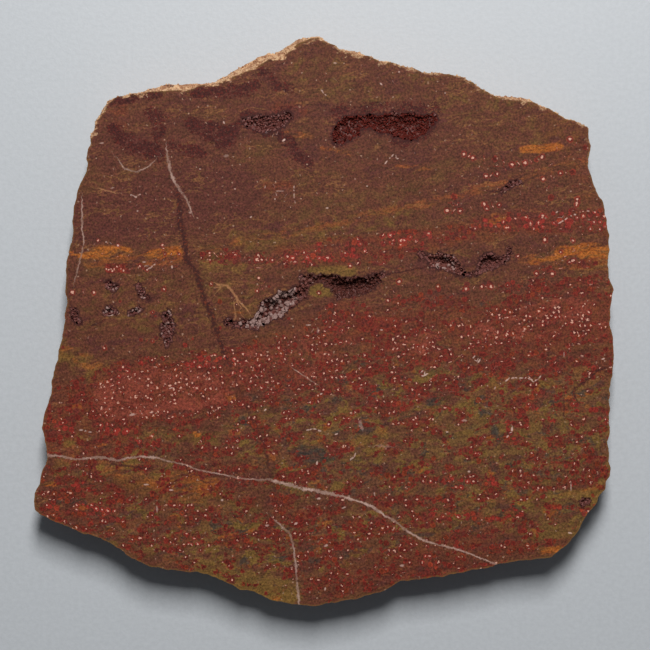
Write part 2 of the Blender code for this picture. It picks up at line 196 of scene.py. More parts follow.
OCHRE = (
    (0.72, (-48, 13.2, 1.12), (-44.8, 13.4, 1.6), (-39.2, 13.8, 0.96)),
    (0.72, (-35.2, 13, 0.96), (-29.2, 13.8, 1.12)),
    (0.72, (39.6, 34, 0.8), (44.2, 34.4, 1.12), (47.2, 34.6, 0.8)),
    (0.72, (47.2, 13.6, 1.28), (52.2, 14, 1.6), (56.6, 13.8, 1.6)),
    (0.6, (41.6, 11.4, 0.6), (46.8, 12.4, 0.7)),
    (0.8, (33.2, 19.6, 0.5), (36.6, 20.2, 0.6)),
    (0.9, (-55.8, -33, 0.4), (-53.8, -32.8, 0.5)),
    (0.8, (38.2, -35.6, 0.5), (41.2, -35.4, 0.5)),
    (0.6, (43.8, -46.2, 0.8), (47.2, -45.8, 0.8)),
    (0.35, (-24.8, 14, 1), (-4.8, 18, 1.2), (19.2, 23, 1.2), (39.2, 28.4, 1.2), (54.4, 32, 1.2)),
    (0.4, (-16.8, -30, 1.2), (-4.8, -26.4, 1.2), (11.2, -24, 1.2)),
    (0.4, (-46.8, 11.6, 1.6), (-28.8, 12.4, 1.6)),
    (0.4, (47.2, 11.6, 2), (56.4, 11.6, 1.8)),
    (0.72, (-18, -22.4, 1.12), (-17, -22.6, 1.12)),
    (0.7, (11, -22, 0.8), (12, -22, 0.8)),
    (0.9, (-2.4, -32.2, 0.6), (-1.4, -32.4, 0.6)),
    (0.7, (-7.6, -29.8, 0.6), (-6.4, -30, 0.6)),
    (0.9, (-50.4, -17.4, 0.5), (-48.8, -17.4, 0.5)),
    (0.8, (-39.2, -20.8, 0.4), (-37.4, -21.6, 0.4)),
    (0.8, (-26, -22.8, 0.5), (-25, -23, 0.5)),
    (0.7, (-19.4, -15.2, 0.8), (-18.4, -15.6, 0.8)),
    (0.7, (-32.8, -9.2, 0.36), (-30, -9, 0.36)),
    (0.72, (-0.4, -40.8, 1.12), (1, -40.8, 1.12)),
    (0.9, (-2.6, -46.2, 0.6), (-1.2, -46, 0.6)),
    (0.7, (-10, -55.6, 0.6), (-9, -55.6, 0.6)),
    (0.8, (27.4, -31, 0.5), (28.6, -31.2, 0.5)),
    (0.7, (41.8, -42, 0.5), (42.8, -42.2, 0.5)),
    (0.7, (52.4, -17.2, 0.5), (53.4, -17.4, 0.5)),
    (0.7, (-25.6, -36.2, 0.5), (-24.4, -36.4, 0.5)),
    (0.7, (-49, -37.4, 0.6), (-47.8, -37.6, 0.6)),
    (0.7, (-52.8, 14, 0.36), (-48.8, 12.8, 0.4)),
    (0.5, (5.2, -14.4, 0.8), (5.6, -10.4, 1)),
    (0.6, (13.6, -10.4, 0.8), (14.4, -9.2, 0.8)),
    (0.55, (-18.2, 1.8, 0.5), (-15.6, 1, 0.5)),
    (0.5, (33.8, 21, 0.6), (36.4, 20.6, 0.6)),
    (0.4, (-51.6, -6.4, 1.6), (-45.6, -9.2, 1.6)),
    (0.4, (39.2, 11.6, 0.8), (42, 12.8, 0.8)),
    (0.5, (-8, 37.2, 0.8), (-2.8, 36.8, 0.8)),
    (0.45, (-0.4, 34.4, 0.6), (5.6, 33.2, 0.6)),
    (0.4, (14.4, 30.8, 0.6), (21.2, 30.4, 0.6)),
    (0.45, (26.8, -36, 0.5), (35.2, -36, 0.6), (44.2, -35.4, 0.5)),
    (0.45, (47.2, -34.8, 0.6), (56, -33.6, 0.6)),
    (0.3, (-52.8, -26, 3.2), (-34.8, -30, 3.6), (-24.8, -36, 3.2)),
    (0.55, (-49.6, -26.4, 2.4), (-34.8, -30.8, 3), (-22.8, -33.2, 2.4)),
)
SOOT = (
    (0.8, (8.4, -14.2, 1.2), (9.6, -14.2, 1.2)),
    (0.7, (3.8, -11.8, 1.2), (5, -12, 1)),
    (0.8, (17.2, -14, 1), (18.8, -14.2, 1)),
    (0.7, (-8.2, -23.4, 1), (-7, -23.6, 0.8)),
    (0.7, (-16.4, -20, 1), (-15.2, -20.2, 0.8)),
    (0.6, (1.2, -16.4, 1), (2.8, -16, 1)),
    (0.5, (-4.8, -18, 1), (-3.6, -17.8, 0.8)),
    (0.6, (13.6, -11.2, 1), (15.2, -11.4, 1)),
    (0.5, (21.2, -16.4, 1), (23.2, -16, 1)),
    (0.5, (7.2, -22, 1.2), (9.6, -21.6, 1.2)),
    (0.7, (25.6, 2.8, 0.4), (26.2, 2.9, 0.4)),
    (0.7, (31.2, 3.2, 0.4), (31.8, 3.2, 0.4)),
    (0.5, (27.2, -12, 1.2), (29.2, -11.8, 1)),
    (0.4, (39.2, -10.4, 1), (40.8, -10.2, 1)),
    (0.5, (-14.8, -12, 0.8), (-13.2, -11.6, 0.8)),
    (0.6, (-7.6, -16.4, 0.7), (-6, -16.4, 0.6)),
    (0.6, (-4.4, -25.4, 0.6), (-0.4, -25.8, 0.6)),
    (0.5, (-15.6, -15.2, 0.8), (-14, -15.4, 0.8)),
    (0.6, (6, -8.4, 0.4), (8.6, -8.6, 0.4)),
    (0.5, (11, -8.8, 0.5), (11.6, -9, 0.5)),
    (0.5, (-12.8, -28, 0.8), (-12, -28.8, 0.8)),
    (0.6, (-3.8, -30.2, 0.4), (-2.8, -30.4, 0.4)),
    (0.8, (27.2, -13.2, 0.6), (27.8, -13.4, 0.6)),
    (0.6, (31.4, -18.4, 0.7), (33, -18.4, 0.6)),
    (0.7, (34, -21.4, 0.8), (34.2, -22.8, 0.8)),
    (0.8, (49.8, -14.6, 0.5), (50.2, -15.2, 0.4)),
    (0.5, (37.6, -4.4, 0.8), (39.4, -4.4, 0.8)),
    (0.7, (19.2, -43, 0.6), (21.6, -43, 0.6)),
    (0.6, (24, -35.2, 0.5), (24.8, -35.2, 0.5)),
    (0.8, (-2.6, -48.2, 0.7), (-1.2, -48.2, 0.6)),
    (0.5, (52, 20, 0.6), (53, 19.8, 0.6)),
    (0.6, (-4.8, -27, 1.6), (1.2, -27.6, 1.2)),
    (0.5, (-31.4, -1.2, 0.6), (-31.2, -3.6, 0.5)),
    (0.5, (-36.8, -25.2, 0.4), (-35.6, -25.2, 0.4)),
    (0.4, (-26.8, -15.2, 0.8), (-25.6, -15.6, 0.8)),
    (0.6, (-53.6, -36, 0.6), (-48, -36.6, 0.6)),
    (0.5, (-42.8, -40, 0.8), (-34.8, -38.4, 0.6)),
    (0.5, (-29.6, -33.2, 0.6), (-25.6, -33.6, 0.6)),
    (0.5, (-45.6, -31.6, 0.6), (-42.4, -32, 0.5)),
)
MEDLEY = (
    (1, (-15.6, -23.2, 4.4), (1.2, -19.6, 5.6), (19.2, -15.2, 5.6), (35.2, -15.2, 5.2),
     (53.2, -15.2, 4.4)),
    (0.9, (-6.8, -30, 5.2), (15.2, -28.8, 6.4), (35.2, -27.6, 6.4), (53.2, -25.2, 5.2)),
    (1, (-42.8, -40, 4.8), (-20.8, -43, 6), (-4.8, -48, 5.2), (11.2, -42, 5.2)),
    (0.8, (25.2, -37.6, 5.2), (47.2, -38, 4.8)),
    (1, (-49.6, -26, 4), (-32.8, -28, 4)),
    (0.4, (1.2, -6, 4), (27.2, -5, 2.8)),
)
HEMATITE = (
    (1, (2.4, 35.6, 0.81), (3.6, 37.2, 2.16), (5.2, 38.6, 2.43), (7.2, 39.6, 1.89), (9.6, 39.8, 1.89),
     (11.8, 39.2, 2.43), (13.8, 39.2, 2.7), (16, 38.6, 3.51), (18.4, 38.8, 2.97), (20.6, 39.4, 1.89),
     (22.6, 40.2, 0.81)),
    (1, (-16.4, 39.8, 0.81), (-14, 39.6, 1.89), (-11.8, 39, 2.16), (-9.6, 39.4, 1.89), (-7.8, 40.6, 1.35),
     (-6.8, 41.4, 0.54)),
    (1, (-9, 37.2, 0.81), (-7.2, 35.8, 1.22), (-6, 35, 0.68)),
    (0.85, (-40.8, 36.6, 1.35), (-38, 34.8, 1.89), (-33.6, 33.6, 1.62)),
    (0.95, (-42.4, 38.4, 1), (-39.2, 36, 1.4), (-36.4, 34.4, 1.6), (-33.2, 33, 1.4)),
    (0.95, (-26.8, 39.2, 1.2), (-23.6, 38, 1.8), (-20, 36.4, 2), (-18.4, 38, 1.4)),
    (0.8, (-34.8, 41.6, 1.2), (-32.8, 40, 1.6), (-33.2, 37.2, 1.2)),
    (0.8, (-43.2, 43.8, 1), (-38.8, 44.6, 1), (-33.2, 45.2, 0.8)),
    (0.85, (-25.6, 45.4, 1), (-20.8, 45.6, 1.2), (-16, 46, 1.4), (-13.6, 47.2, 1)),
    (0.8, (-12.4, 49.6, 1), (-9.6, 47.2, 1.2), (-6.8, 46.4, 0.8)),
    (0.9, (-15.6, 40.4, 1.6), (-11.6, 38.8, 1.8), (-7.2, 41.2, 1.6)),
    (0.9, (-6.4, 34, 1), (-3.6, 31.6, 1.2)),
    (0.8, (-30.4, 34.8, 1.2), (-24.8, 33.6, 1.2)),
    (0.6, (3.2, 41.6, 1.6), (21.6, 42, 1.6)),
)
PALE_LINES = (
    (0.75, (-55.6, -27, 0.28), (-52.8, -27.3, 0.3), (-50, -27.8, 0.3), (-48, -27.8, 0.28),
     (-45.5, -27.4, 0.3), (-43, -27.7, 0.28), (-41, -28.1, 0.26), (-39.2, -27.5, 0.24), (-36, -27.3, 0.3),
     (-33.4, -27.5, 0.32)),
    (0.75, (12, -39, 0.28), (14.4, -40.4, 0.28), (16.4, -42, 0.28), (19.4, -43.9, 0.28), (23, -45, 0.26),
     (26.4, -45.8, 0.26), (29.6, -46.9, 0.24), (32.2, -48, 0.22), (34.4, -48.8, 0.2)),
    (0.7, (-31.4, 34, 0.2), (-31.2, 32.4, 0.32), (-30.6, 29.2, 0.36), (-29.2, 26.4, 0.32),
     (-27.6, 24.4, 0.24), (-26.6, 22, 0.2)),
    (0.6, (-9.6, -40.2, 0.22), (-6.8, -42.8, 0.24), (-6, -45.8, 0.26), (-5.6, -49.4, 0.28),
     (-5.4, -52.8, 0.3), (-5, -56.8, 0.32)),
    (0.6, (-48.4, 24, 0.18), (-48.4, 22, 0.22), (-48.4, 18, 0.2), (-48, 15.8, 0.18), (-48.4, 13.4, 0.2),
     (-49.2, 10.6, 0.2), (-49.8, 8.2, 0.2)),
    (0.5, (-41, 31.8, 0.18), (-39.8, 30.2, 0.22), (-37.4, 29.6, 0.2), (-35.2, 30.6, 0.2),
     (-34, 31.8, 0.16)),
    (0.5, (-5.8, -10, 0.16), (-2.2, -12.4, 0.18)),
    (0.4, (11, -25.2, 0.32), (12.8, -25.2, 0.32)),
    (0.6, (-33.4, -27.5, 0.22), (-32.1, -28, 0.19), (-29.6, -28.6, 0.18), (-27.6, -29, 0.18),
     (-25.8, -29.8, 0.19), (-22.6, -30.5, 0.2), (-19.4, -31.1, 0.2), (-16.2, -31.8, 0.22),
     (-10.8, -32, 0.26)),
    (1, (-10.8, -32, 0.3), (-8.5, -32.6, 0.38), (-6.2, -33.2, 0.4), (-3.6, -33.9, 0.4),
     (-0.8, -34.2, 0.36), (1.8, -34.9, 0.38), (4.8, -35.6, 0.36), (7.8, -36.6, 0.34), (9.8, -37.4, 0.32),
     (12, -39, 0.3)),
)
DARK_LINES = (
    (1, (-29.2, 25.2, 0.49), (-28.8, 21.8, 0.64), (-28.6, 18.2, 0.68), (-27.8, 15.2, 0.68),
     (-27.4, 11.8, 0.68), (-25.6, 9.6, 0.68), (-24.7, 7.2, 0.68), (-23.8, 3.6, 0.64), (-22.2, 0.4, 0.64),
     (-21.4, -2.6, 0.6), (-20.4, -5.6, 0.52), (-19.2, -8.2, 0.38)),
    (0.7, (-12.2, -24.4, 0.26), (-11.4, -27.8, 0.31), (-11, -30.2, 0.31), (-10.2, -32.2, 0.26)),
    (0.9, (-41.6, -29, 0.23), (-38.8, -29.2, 0.29), (-34.6, -29.8, 0.21)),
    (0.8, (-46.2, -29, 0.18), (-46.8, -30.6, 0.23), (-47.4, -32, 0.18)),
    (1, (12, 9, 0.21), (15.2, 9.6, 0.18), (18.4, 10.2, 0.18), (21.2, 10.8, 0.16)),
    (1, (32.8, 25.8, 0.21), (34, 25.7, 0.31), (35.4, 25.9, 0.26)),
    (1, (36.4, 27, 0.21), (37.4, 27.9, 0.31)),
    (1, (56.4, -9.6, 0.32), (54.8, -10, 0.3), (52.8, -11.8, 0.3), (50.2, -13.8, 0.36), (49.8, -14.4, 0.3),
     (50.2, -15.4, 0.24)),
    (0.9, (48, -15.6, 0.16), (48, -19.6, 0.16)),
    (0.9, (-46.4, -1, 0.21), (-44.8, -0.6, 0.23), (-43.8, 0.2, 0.21), (-43.6, 1.6, 0.18)),
    (0.8, (27.4, 9, 0.23), (29.6, 8.9, 0.26), (31.2, 9.6, 0.26)),
    (0.7, (-50.8, 4, 0.21), (-50.2, 2, 0.23), (-49.2, 0, 0.23)),
    (0.55, (-19.2, -8.2, 0.34), (-16.8, -14.4, 0.3), (-14.4, -20, 0.32), (-12.2, -24.4, 0.32),
     (-11.4, -27.8, 0.4), (-10.2, -32.2, 0.4), (-9.4, -36, 0.3)),
)
ORANGE_LINES = (
    (0.8, (-21.4, 7.2, 0.2), (-19.2, 6.8, 0.24), (-18.2, 5.4, 0.24), (-16.8, 3.6, 0.26), (-15.4, 2, 0.2)),
    (0.6, (-44.8, 26.2, 0.18), (-41.6, 25.4, 0.2)),
    (0.5, (-18, 3.4, 0.2), (-17.6, 0.8, 0.24), (-18.2, -0.4, 0.2)),
    (0.4, (-21.8, 5.2, 0.16), (-20.4, 6.8, 0.18)),
)
# Small pale marks, some of them pale quartz and the rest painted glints of light on tiny crystals: x, y, half
# length, half width, turn in degrees, brightness.
PALE_FLECKS_AND_GLINTS = (
    (-20, 39.5, 0.32, 0.18, -60, 0.8), (-8, 36, 0.44, 0.22, 35, 1), (-10.4, 39, 0.8, 0.34, 15, 0.6),
    (-11.4, 38.5, 0.36, 0.22, 0, 0.5), (-19.6, 32.8, 0.6, 0.36, 0, 0.3), (-37.3, 21.8, 0.2, 0.18, 0, 0.7),
    (-24.8, 30.2, 0.2, 0.16, 0, 0.7), (-17.8, 26.2, 0.24, 0.16, 0, 0.6),
    (-11.8, 26.6, 0.4, 0.14, 90, 0.6), (-8.8, 25.8, 1, 0.12, 0, 0.5), (-14.6, 20.6, 0.32, 0.2, 45, 0.8),
    (-9.8, 24.2, 0.2, 0.16, 0, 0.8), (-38.6, 25, 0.2, 0.2, 0, 0.7), (-37.6, 24.6, 0.22, 0.18, 0, 0.7),
    (-36.8, 25.1, 0.16, 0.16, 0, 0.6), (-0.4, 45.8, 0.4, 0.2, -50, 0.7), (0.3, 45, 0.26, 0.14, -40, 0.6),
    (11.4, 47.2, 0.4, 0.2, -40, 0.8), (2.2, 51.4, 0.5, 0.2, 0, 0.5), (15, 49.6, 0.26, 0.2, 0, 0.7),
    (24.2, 45.4, 0.22, 0.2, 0, 0.7), (5.3, 39, 0.44, 0.2, 75, 0.9), (12.2, 38.6, 0.6, 0.16, 65, 0.9),
    (11.5, 39.1, 0.4, 0.14, -45, 0.7), (19.2, 37.3, 0.32, 0.18, 60, 0.7),
    (12.4, 31.5, 0.6, 0.16, 55, 0.8), (13.7, 32.9, 0.4, 0.16, 50, 0.7), (14.7, 32.3, 0.3, 0.16, 0, 0.7),
    (8.6, 26.8, 0.2, 0.16, 0, 0.8), (6.2, 28.2, 0.2, 0.14, 0, 0.5), (0.6, 22.4, 0.36, 0.2, 10, 0.7),
    (-6, 26.6, 0.4, 0.16, 90, 0.6), (-6, 25, 0.4, 0.16, 90, 0.5), (-5.8, 23.6, 0.36, 0.12, 100, 0.4),
    (-2.2, 7.6, 0.24, 0.2, 0, 0.9), (11.5, -2, 0.3, 0.2, 0, 0.8), (-3.1, -1, 0.6, 0.16, 0, 0.7),
    (-1.2, -2.2, 0.6, 0.26, 80, 0.35), (-31.1, -2.6, 0.26, 0.2, 90, 0.9), (-38.7, 1.7, 0.2, 0.2, 0, 0.8),
    (-37.6, 2.2, 0.2, 0.2, 0, 0.8), (-36.7, 6, 0.36, 0.22, 80, 0.9), (-36.2, 5.1, 0.32, 0.2, 0, 0.6),
    (-42.8, 1, 0.8, 0.22, 5, 0.9), (-43.6, 15.6, 0.2, 0.16, 0, 0.7), (-41.2, 14.9, 0.24, 0.2, 0, 0.7),
    (-34.8, 10.4, 0.8, 0.16, 25, 0.6), (-33.9, 11.1, 0.36, 0.16, 30, 0.8), (-36, 11.6, 0.4, 0.18, 0, 0.8),
    (-30.4, 10.6, 0.36, 0.2, 90, 0.9), (-30.6, -13.6, 0.6, 0.14, 15, 0.8),
    (-38.3, -18.9, 0.8, 0.28, 10, 0.7), (-34.6, -18.5, 0.4, 0.18, 10, 0.7),
    (-35.6, -32.9, 0.6, 0.18, 0, 0.7), (-30.6, -34, 0.48, 0.18, 0, 0.8), (-48.6, -22, 0.52, 0.2, 0, 0.7),
    (-46.8, -22.4, 0.4, 0.18, 0, 0.7), (-0.6, -14.8, 0.32, 0.2, 30, 1), (-11.8, -18, 0.4, 0.2, 40, 0.9),
    (-3.2, -22, 0.52, 0.16, 5, 0.8), (-1.8, -21.8, 0.44, 0.16, -5, 0.8),
    (-0.8, -22.2, 0.32, 0.16, 0, 0.7), (7.2, -20.4, 0.48, 0.32, 60, 0.3),
    (7.6, -21.6, 0.6, 0.4, 100, 0.35), (6.2, -27, 0.6, 0.16, 70, 0.7), (5.4, -27.8, 0.4, 0.16, 60, 0.7),
    (-1.4, -28.6, 0.48, 0.2, 80, 0.9), (2.5, -22.8, 0.4, 0.18, 20, 0.9), (36.6, -12, 0.52, 0.16, 40, 0.9),
    (37.8, -11.6, 0.44, 0.16, 10, 0.7), (39.4, -11.6, 0.48, 0.16, 0, 0.8),
    (41.2, -11.8, 0.48, 0.18, -20, 0.8), (42.4, -12, 0.4, 0.16, 50, 0.9),
    (43.2, -11.4, 0.4, 0.16, 50, 0.8), (34.2, -13.6, 0.4, 0.16, 60, 0.6), (31, -8.2, 0.6, 0.18, 60, 0.9),
    (30, -7.4, 0.36, 0.16, 50, 0.8), (20.2, -11, 0.8, 0.2, 25, 1), (19.6, -10.3, 0.4, 0.16, 40, 0.8),
    (55.8, -7.8, 0.44, 0.18, 10, 0.9), (37.6, -21.8, 0.64, 0.22, 85, 0.9),
    (36.7, -23.3, 0.36, 0.2, 60, 0.8), (49.4, -33.4, 1, 0.12, 90, 0.7), (24.6, -22.4, 0.28, 0.2, 0, 0.8),
    (28, -20.1, 0.6, 0.24, 0, 0.45), (48, -7, 0.68, 0.12, 90, 0.5), (-1, -35.7, 0.48, 0.26, 0, 0.8),
    (-5.6, -40.7, 0.44, 0.24, 30, 0.8), (-11.4, -41.1, 0.44, 0.26, 0, 0.6),
    (0.4, -45.1, 0.44, 0.28, 20, 0.7), (15.6, -49.1, 0.48, 0.32, 20, 0.6),
    (10.1, -34.8, 0.52, 0.16, 100, 0.6), (0.2, -53.8, 0.36, 0.18, 80, 0.8),
    (4, -37.5, 0.48, 0.2, 20, 0.7), (-33.4, -37.8, 0.8, 0.22, 95, 0.5), (-20.4, -36, 0.28, 0.22, 0, 0.8),
    (29, -30.3, 0.28, 0.22, 0, 0.8), (49.2, -42.6, 0.48, 0.2, -10, 0.9),
    (46.6, 21.6, 0.32, 0.16, 40, 0.8), (48.4, 20.2, 0.48, 0.16, 35, 0.8),
    (47.2, 19.5, 0.44, 0.16, 30, 0.8), (50.2, 21.1, 0.3, 0.18, 20, 0.8), (52.8, 21.8, 0.28, 0.16, 0, 0.7),
    (-26.8, 21.5, 0.32, 0.24, 30, 0.5), (-44.4, 35.4, 0.6, 0.16, 5, 0.5),
    (-42.4, 26.4, 0.48, 0.16, 20, 0.4),
)
# Round grains that stand alone: x, y, radius, and how much of the radius is pale heart.
LONE_GRAINS = (
    (49.2, 36.1, 0.62, 0.4), (52.2, 34.5, 0.52, 0), (28, 33.2, 0.6, 0.4), (29.8, 32.4, 0.6, 0.4),
    (34.2, 32.2, 0.6, 0), (37.6, 31.1, 0.64, 0.42), (40.2, 31.4, 0.6, 0.4), (43.7, 32.6, 0.6, 0.36),
    (42.5, 32, 0.44, 0), (32.4, 28.8, 0.56, 0.38), (34.6, 29.2, 0.56, 0.25), (43.8, 28.2, 0.6, 0.4),
    (47.3, 29.4, 0.56, 0.32), (49.7, 29.6, 0.64, 0), (26, 24.7, 0.64, 0), (45.4, 24.5, 0.64, 0),
    (50.7, 24.2, 0.6, 0.34), (50.5, 23, 0.56, 0.34), (32, 23.2, 0.6, 0.38), (32.6, 22.3, 0.56, 0.34),
    (35, 23, 0.56, 0.34), (24.6, 21.9, 0.6, 0.34), (27.2, 21.8, 0.6, 0.34), (43.7, 20.9, 0.56, 0.36),
    (44.2, 16, 0.62, 0.4), (49.8, 15.9, 0.52, 0.32), (53.3, 18.2, 0.56, 0.34), (-50.3, 5.5, 0.56, 0.5),
    (-46, 5.5, 0.52, 0.36), (-45.2, 15.9, 0.36, 0.5), (-41.2, 15, 0.36, 0.5), (-40.8, 3.8, 0.28, 0),
    (-32, 6.2, 0.56, 0.34), (-34.3, 1.5, 0.44, 0.2), (-43.9, -5.6, 0.52, 0.3), (-34.3, -4.2, 0.4, 0.3),
    (-36.6, -4, 0.36, 0), (-52.2, -5.4, 0.36, 0), (-31.8, 13.2, 0.44, 0.36), (-29, 13.2, 0.4, 0.36),
    (-32.3, 15, 0.36, 0.5), (-22.9, 13.4, 0.32, 0.5), (-22.8, 12, 0.32, 0.45), (-20.6, 13.2, 0.3, 0.5),
    (-17.8, 13.1, 0.52, 0.36), (-13.2, 13, 0.52, 0.34), (-12.4, 12.1, 0.52, 0.36),
    (-13.6, 11.9, 0.48, 0.3), (-10.4, 12, 0.52, 0.32), (-13, 8.4, 0.32, 0.6), (-13.4, 5.8, 0.44, 0.4),
    (-11, 6.7, 0.28, 0), (-22.6, 7.2, 0.48, 0.36), (-7.3, 12.8, 0.56, 0.36), (-4, 13.5, 0.48, 0.34),
    (-7.6, 10.7, 0.36, 0), (5.2, 10.8, 0.48, 0.36), (15, 7.7, 0.68, 0.36), (-1, 5.4, 0.48, 0.25),
    (15.4, 12.7, 0.52, 0), (12.8, 3.9, 0.52, 0.3), (-43.5, 10.2, 0.44, 0.36), (-42.3, 9.8, 0.44, 0.36),
    (-41.4, 10.7, 0.4, 0.36), (-40.1, 9.9, 0.44, 0.36), (-36.8, 10.8, 0.4, 0.3), (-35.4, 10, 0.4, 0.3),
    (28.4, 6.3, 0.6, 0.36), (31.6, 6.7, 0.52, 0.3), (33.4, 6.7, 0.6, 0.34), (36.7, 7, 0.48, 0.2),
    (21.2, 5.6, 0.52, 0), (42.5, 9.3, 0.6, 0.36), (45.7, 9.3, 0.6, 0.36), (38.8, 12.8, 0.4, 0.3),
    (47.4, 13.6, 0.48, 0.2), (49.1, 11.6, 0.52, 0.34), (50, 12, 0.48, 0.32), (49.6, 16, 0.44, 0.3),
)

STAINS = {
    "grains": GRAINS, "rose": ROSE, "scarlet": SCARLET, "plum": PLUM, "olive": OLIVE, "ochre": OCHRE,
    "soot": SOOT, "medley": MEDLEY, "hematite": HEMATITE,
}
LINES = {"pale": PALE_LINES, "dark": DARK_LINES, "orange": ORANGE_LINES}


def beside(points, strokes):
    """For each leg of the strokes: its strength, and each point's distance, also in half widths, and side."""
    for strength, *stations in strokes:
        for a, b in zip(stations, stations[1:] or stations):
            leg = np.subtract(b[:2], a[:2])
            long = max(float(leg @ leg), 1e-9)
            share = ((points - a[:2]) @ leg / long).clip(0.0, 1.0)
            off = points - (np.asarray(a[:2]) + share[:, None] * leg)
            gap = np.hypot(off[:, 0], off[:, 1])
            width = a[2] + (b[2] - a[2]) * share
            side = np.sign(leg[0] * off[:, 1] - leg[1] * off[:, 0])
            yield strength, gap, gap / width, np.where(side == 0, 1.0, side)


def stain(points, strokes):
    """How strongly strokes colour each point: 1 inside, half at the stroke's half width, 0 at 1.4 of it."""
    field = np.zeros(len(points))
    for strength, _, widths_off, _ in beside(points, strokes):
        fade = ((1.4 - widths_off) / 0.8).clip(0.0, 1.0)
        field = np.maximum(field, strength * fade * fade * (3.0 - 2.0 * fade))
    return field


def line_field(points, strokes):
    """For thin lines: the signed distance to the nearest one in half widths, and how strong it is there."""
    nearest = np.full(len(points), 1e3)
    offset, line_strength = nearest.copy(), np.zeros(len(points))
    for strength, gap, widths_off, side in beside(points, strokes):
        closer = gap < nearest
        nearest = np.where(closer, gap, nearest)
        offset = np.where(closer, side * widths_off, offset)
        line_strength = np.where(closer, strength * ((2.2 - gap) / 0.8).clip(0.0, 1.0), line_strength)
    return offset, line_strength


def in_own_frame(points, marks):
    """Each point's place beside its nearest mark, in the mark's half lengths and widths, and its value."""
    nearest = np.full(len(points), np.inf)
    frames = np.zeros((len(points), 3))
    for x, y, half_length, half_width, turn, value in marks:
        off = points - (x, y)
        gap = np.hypot(off[:, 0], off[:, 1])
        c, s = math.cos(math.radians(turn)), math.sin(math.radians(turn))
        along = (off[:, 0] * c + off[:, 1] * s) / half_length
        across = (off[:, 1] * c - off[:, 0] * s) / half_width
        own = np.stack([along, across, np.full(len(points), value)], axis=1)
        frames = np.where((gap < nearest)[:, None], own, frames)
        nearest = np.minimum(nearest, gap)
    return frames


def rough(place, size):
    """Rough rock, about -1 to 1, with lumps of this size and finer ones on them."""
    return noise.fractal(Vector(place) / size, 0.9, 2.0, 4)


def on_front(vertex):
    """Whether a vertex lies on the sawn front face."""
    return vertex.co.z > HIGH.z - FLAT


def on_back(vertex):
    """Whether a vertex lies on the sawn back."""
    return vertex.co.z < LOW.z + FLAT


def open_shell(cad):
    """The solid's mesh welded, without its two sawn faces."""
    shell = bmesh.new()
    shell.from_mesh(cad.data)
    bmesh.ops.remove_doubles(shell, verts=shell.verts, dist=0.001 * MM)
    sawn = [f for f in shell.faces if all(map(on_front, f.verts)) or all(map(on_back, f.verts))]
    if not sawn:
        raise RuntimeError("the solid has no sawn face")
    bmesh.ops.delete(shell, geom=sawn, context="FACES")
    return shell


def refine(shell, longest):
    """Halves edges until none is longer than this."""
    while True:
        long = [edge for edge in shell.edges if edge.calc_length() > longest]
        if not long:
            return
        bmesh.ops.subdivide_edges(shell, edges=long, cuts=1)
        bmesh.ops.triangulate(shell, faces=[face for face in shell.faces if len(face.verts) > 3])


def wall_vertices(shell):
    """The vertices of the broken wall: those joined to the back's edge. The rest line the hollows."""
    wall = set(filter(on_back, shell.verts))
    front = set(wall)
    while front:
        front = {edge.other_vert(v) for v in front for edge in v.link_edges} - wall
        wall |= front
    return wall


# Width of the largest lumps on the broken wall and in the hollows.
WALL_LUMPS, HOLLOW_LUMPS = 2.6 * MM, 0.9 * MM


def roughen(shell, wall, wall_depth, hollow_depth):
    """Breaks up the smooth faces of the solid; what lies on a sawn face only moves within it."""
    shell.normal_update()
    moves = {}
    for v in shell.verts:
        if v in wall:
            push = v.normal * (wall_depth * (rough(v.co, WALL_LUMPS) - 0.25))
        else:
            push = v.normal * (-hollow_depth * max(0.0, rough(v.co, HOLLOW_LUMPS) + 0.15))
        if on_front(v) or on_back(v):
            push.z = 0.0
        moves[v] = push
    for v, push in moves.items():
        v.co += push
        for k in range(3):
            v.co[k] = min(max(v.co[k], LOW[k]), HIGH[k])


def rim_places(shell, wall):
    """Where the front's edges run, in millimetres: the lips of the hollows and the outer edge."""
    places = {"lip": [], "edge": []}
    for v in shell.verts:
        if on_front(v) and v.is_boundary:
            places["edge" if v in wall else "lip"].append((v.co.x / MM, v.co.y / MM))
    return places


def finder(places):
    """A function for the distance from a point to the nearest of these places."""
    tree = kdtree.KDTree(len(places))
    for k, (x, y) in enumerate(places):
        tree.insert((x, y, 0.0), k)
    tree.balance()
    return lambda point: tree.find((*point, 0.0))[2]


def nearness(points, rim, reach=3.0):
    """How far each point is from the nearest of the rim's places, up to a reach."""
    distance = finder(rim)
    return [min(distance(point), reach) for point in points]


def inside(points, edges):
    """Which points lie inside the closed lines that edges make, holes left out."""
    odd = np.zeros(len(points), bool)
    for (x0, y0), (x1, y1) in edges:
        if y0 == y1:
            continue
        crosses = (points[:, 1] < y0) != (points[:, 1] < y1)
        at = x0 + (points[:, 1] - y0) * (x1 - x0) / (y1 - y0)
        odd ^= crosses & (points[:, 0] < at)
    return odd


# How far the points of a sawn face's net stray from even rows, as a share of their spacing, and their seed.
NET_STRAY, NET_SEED = 0.18, 7


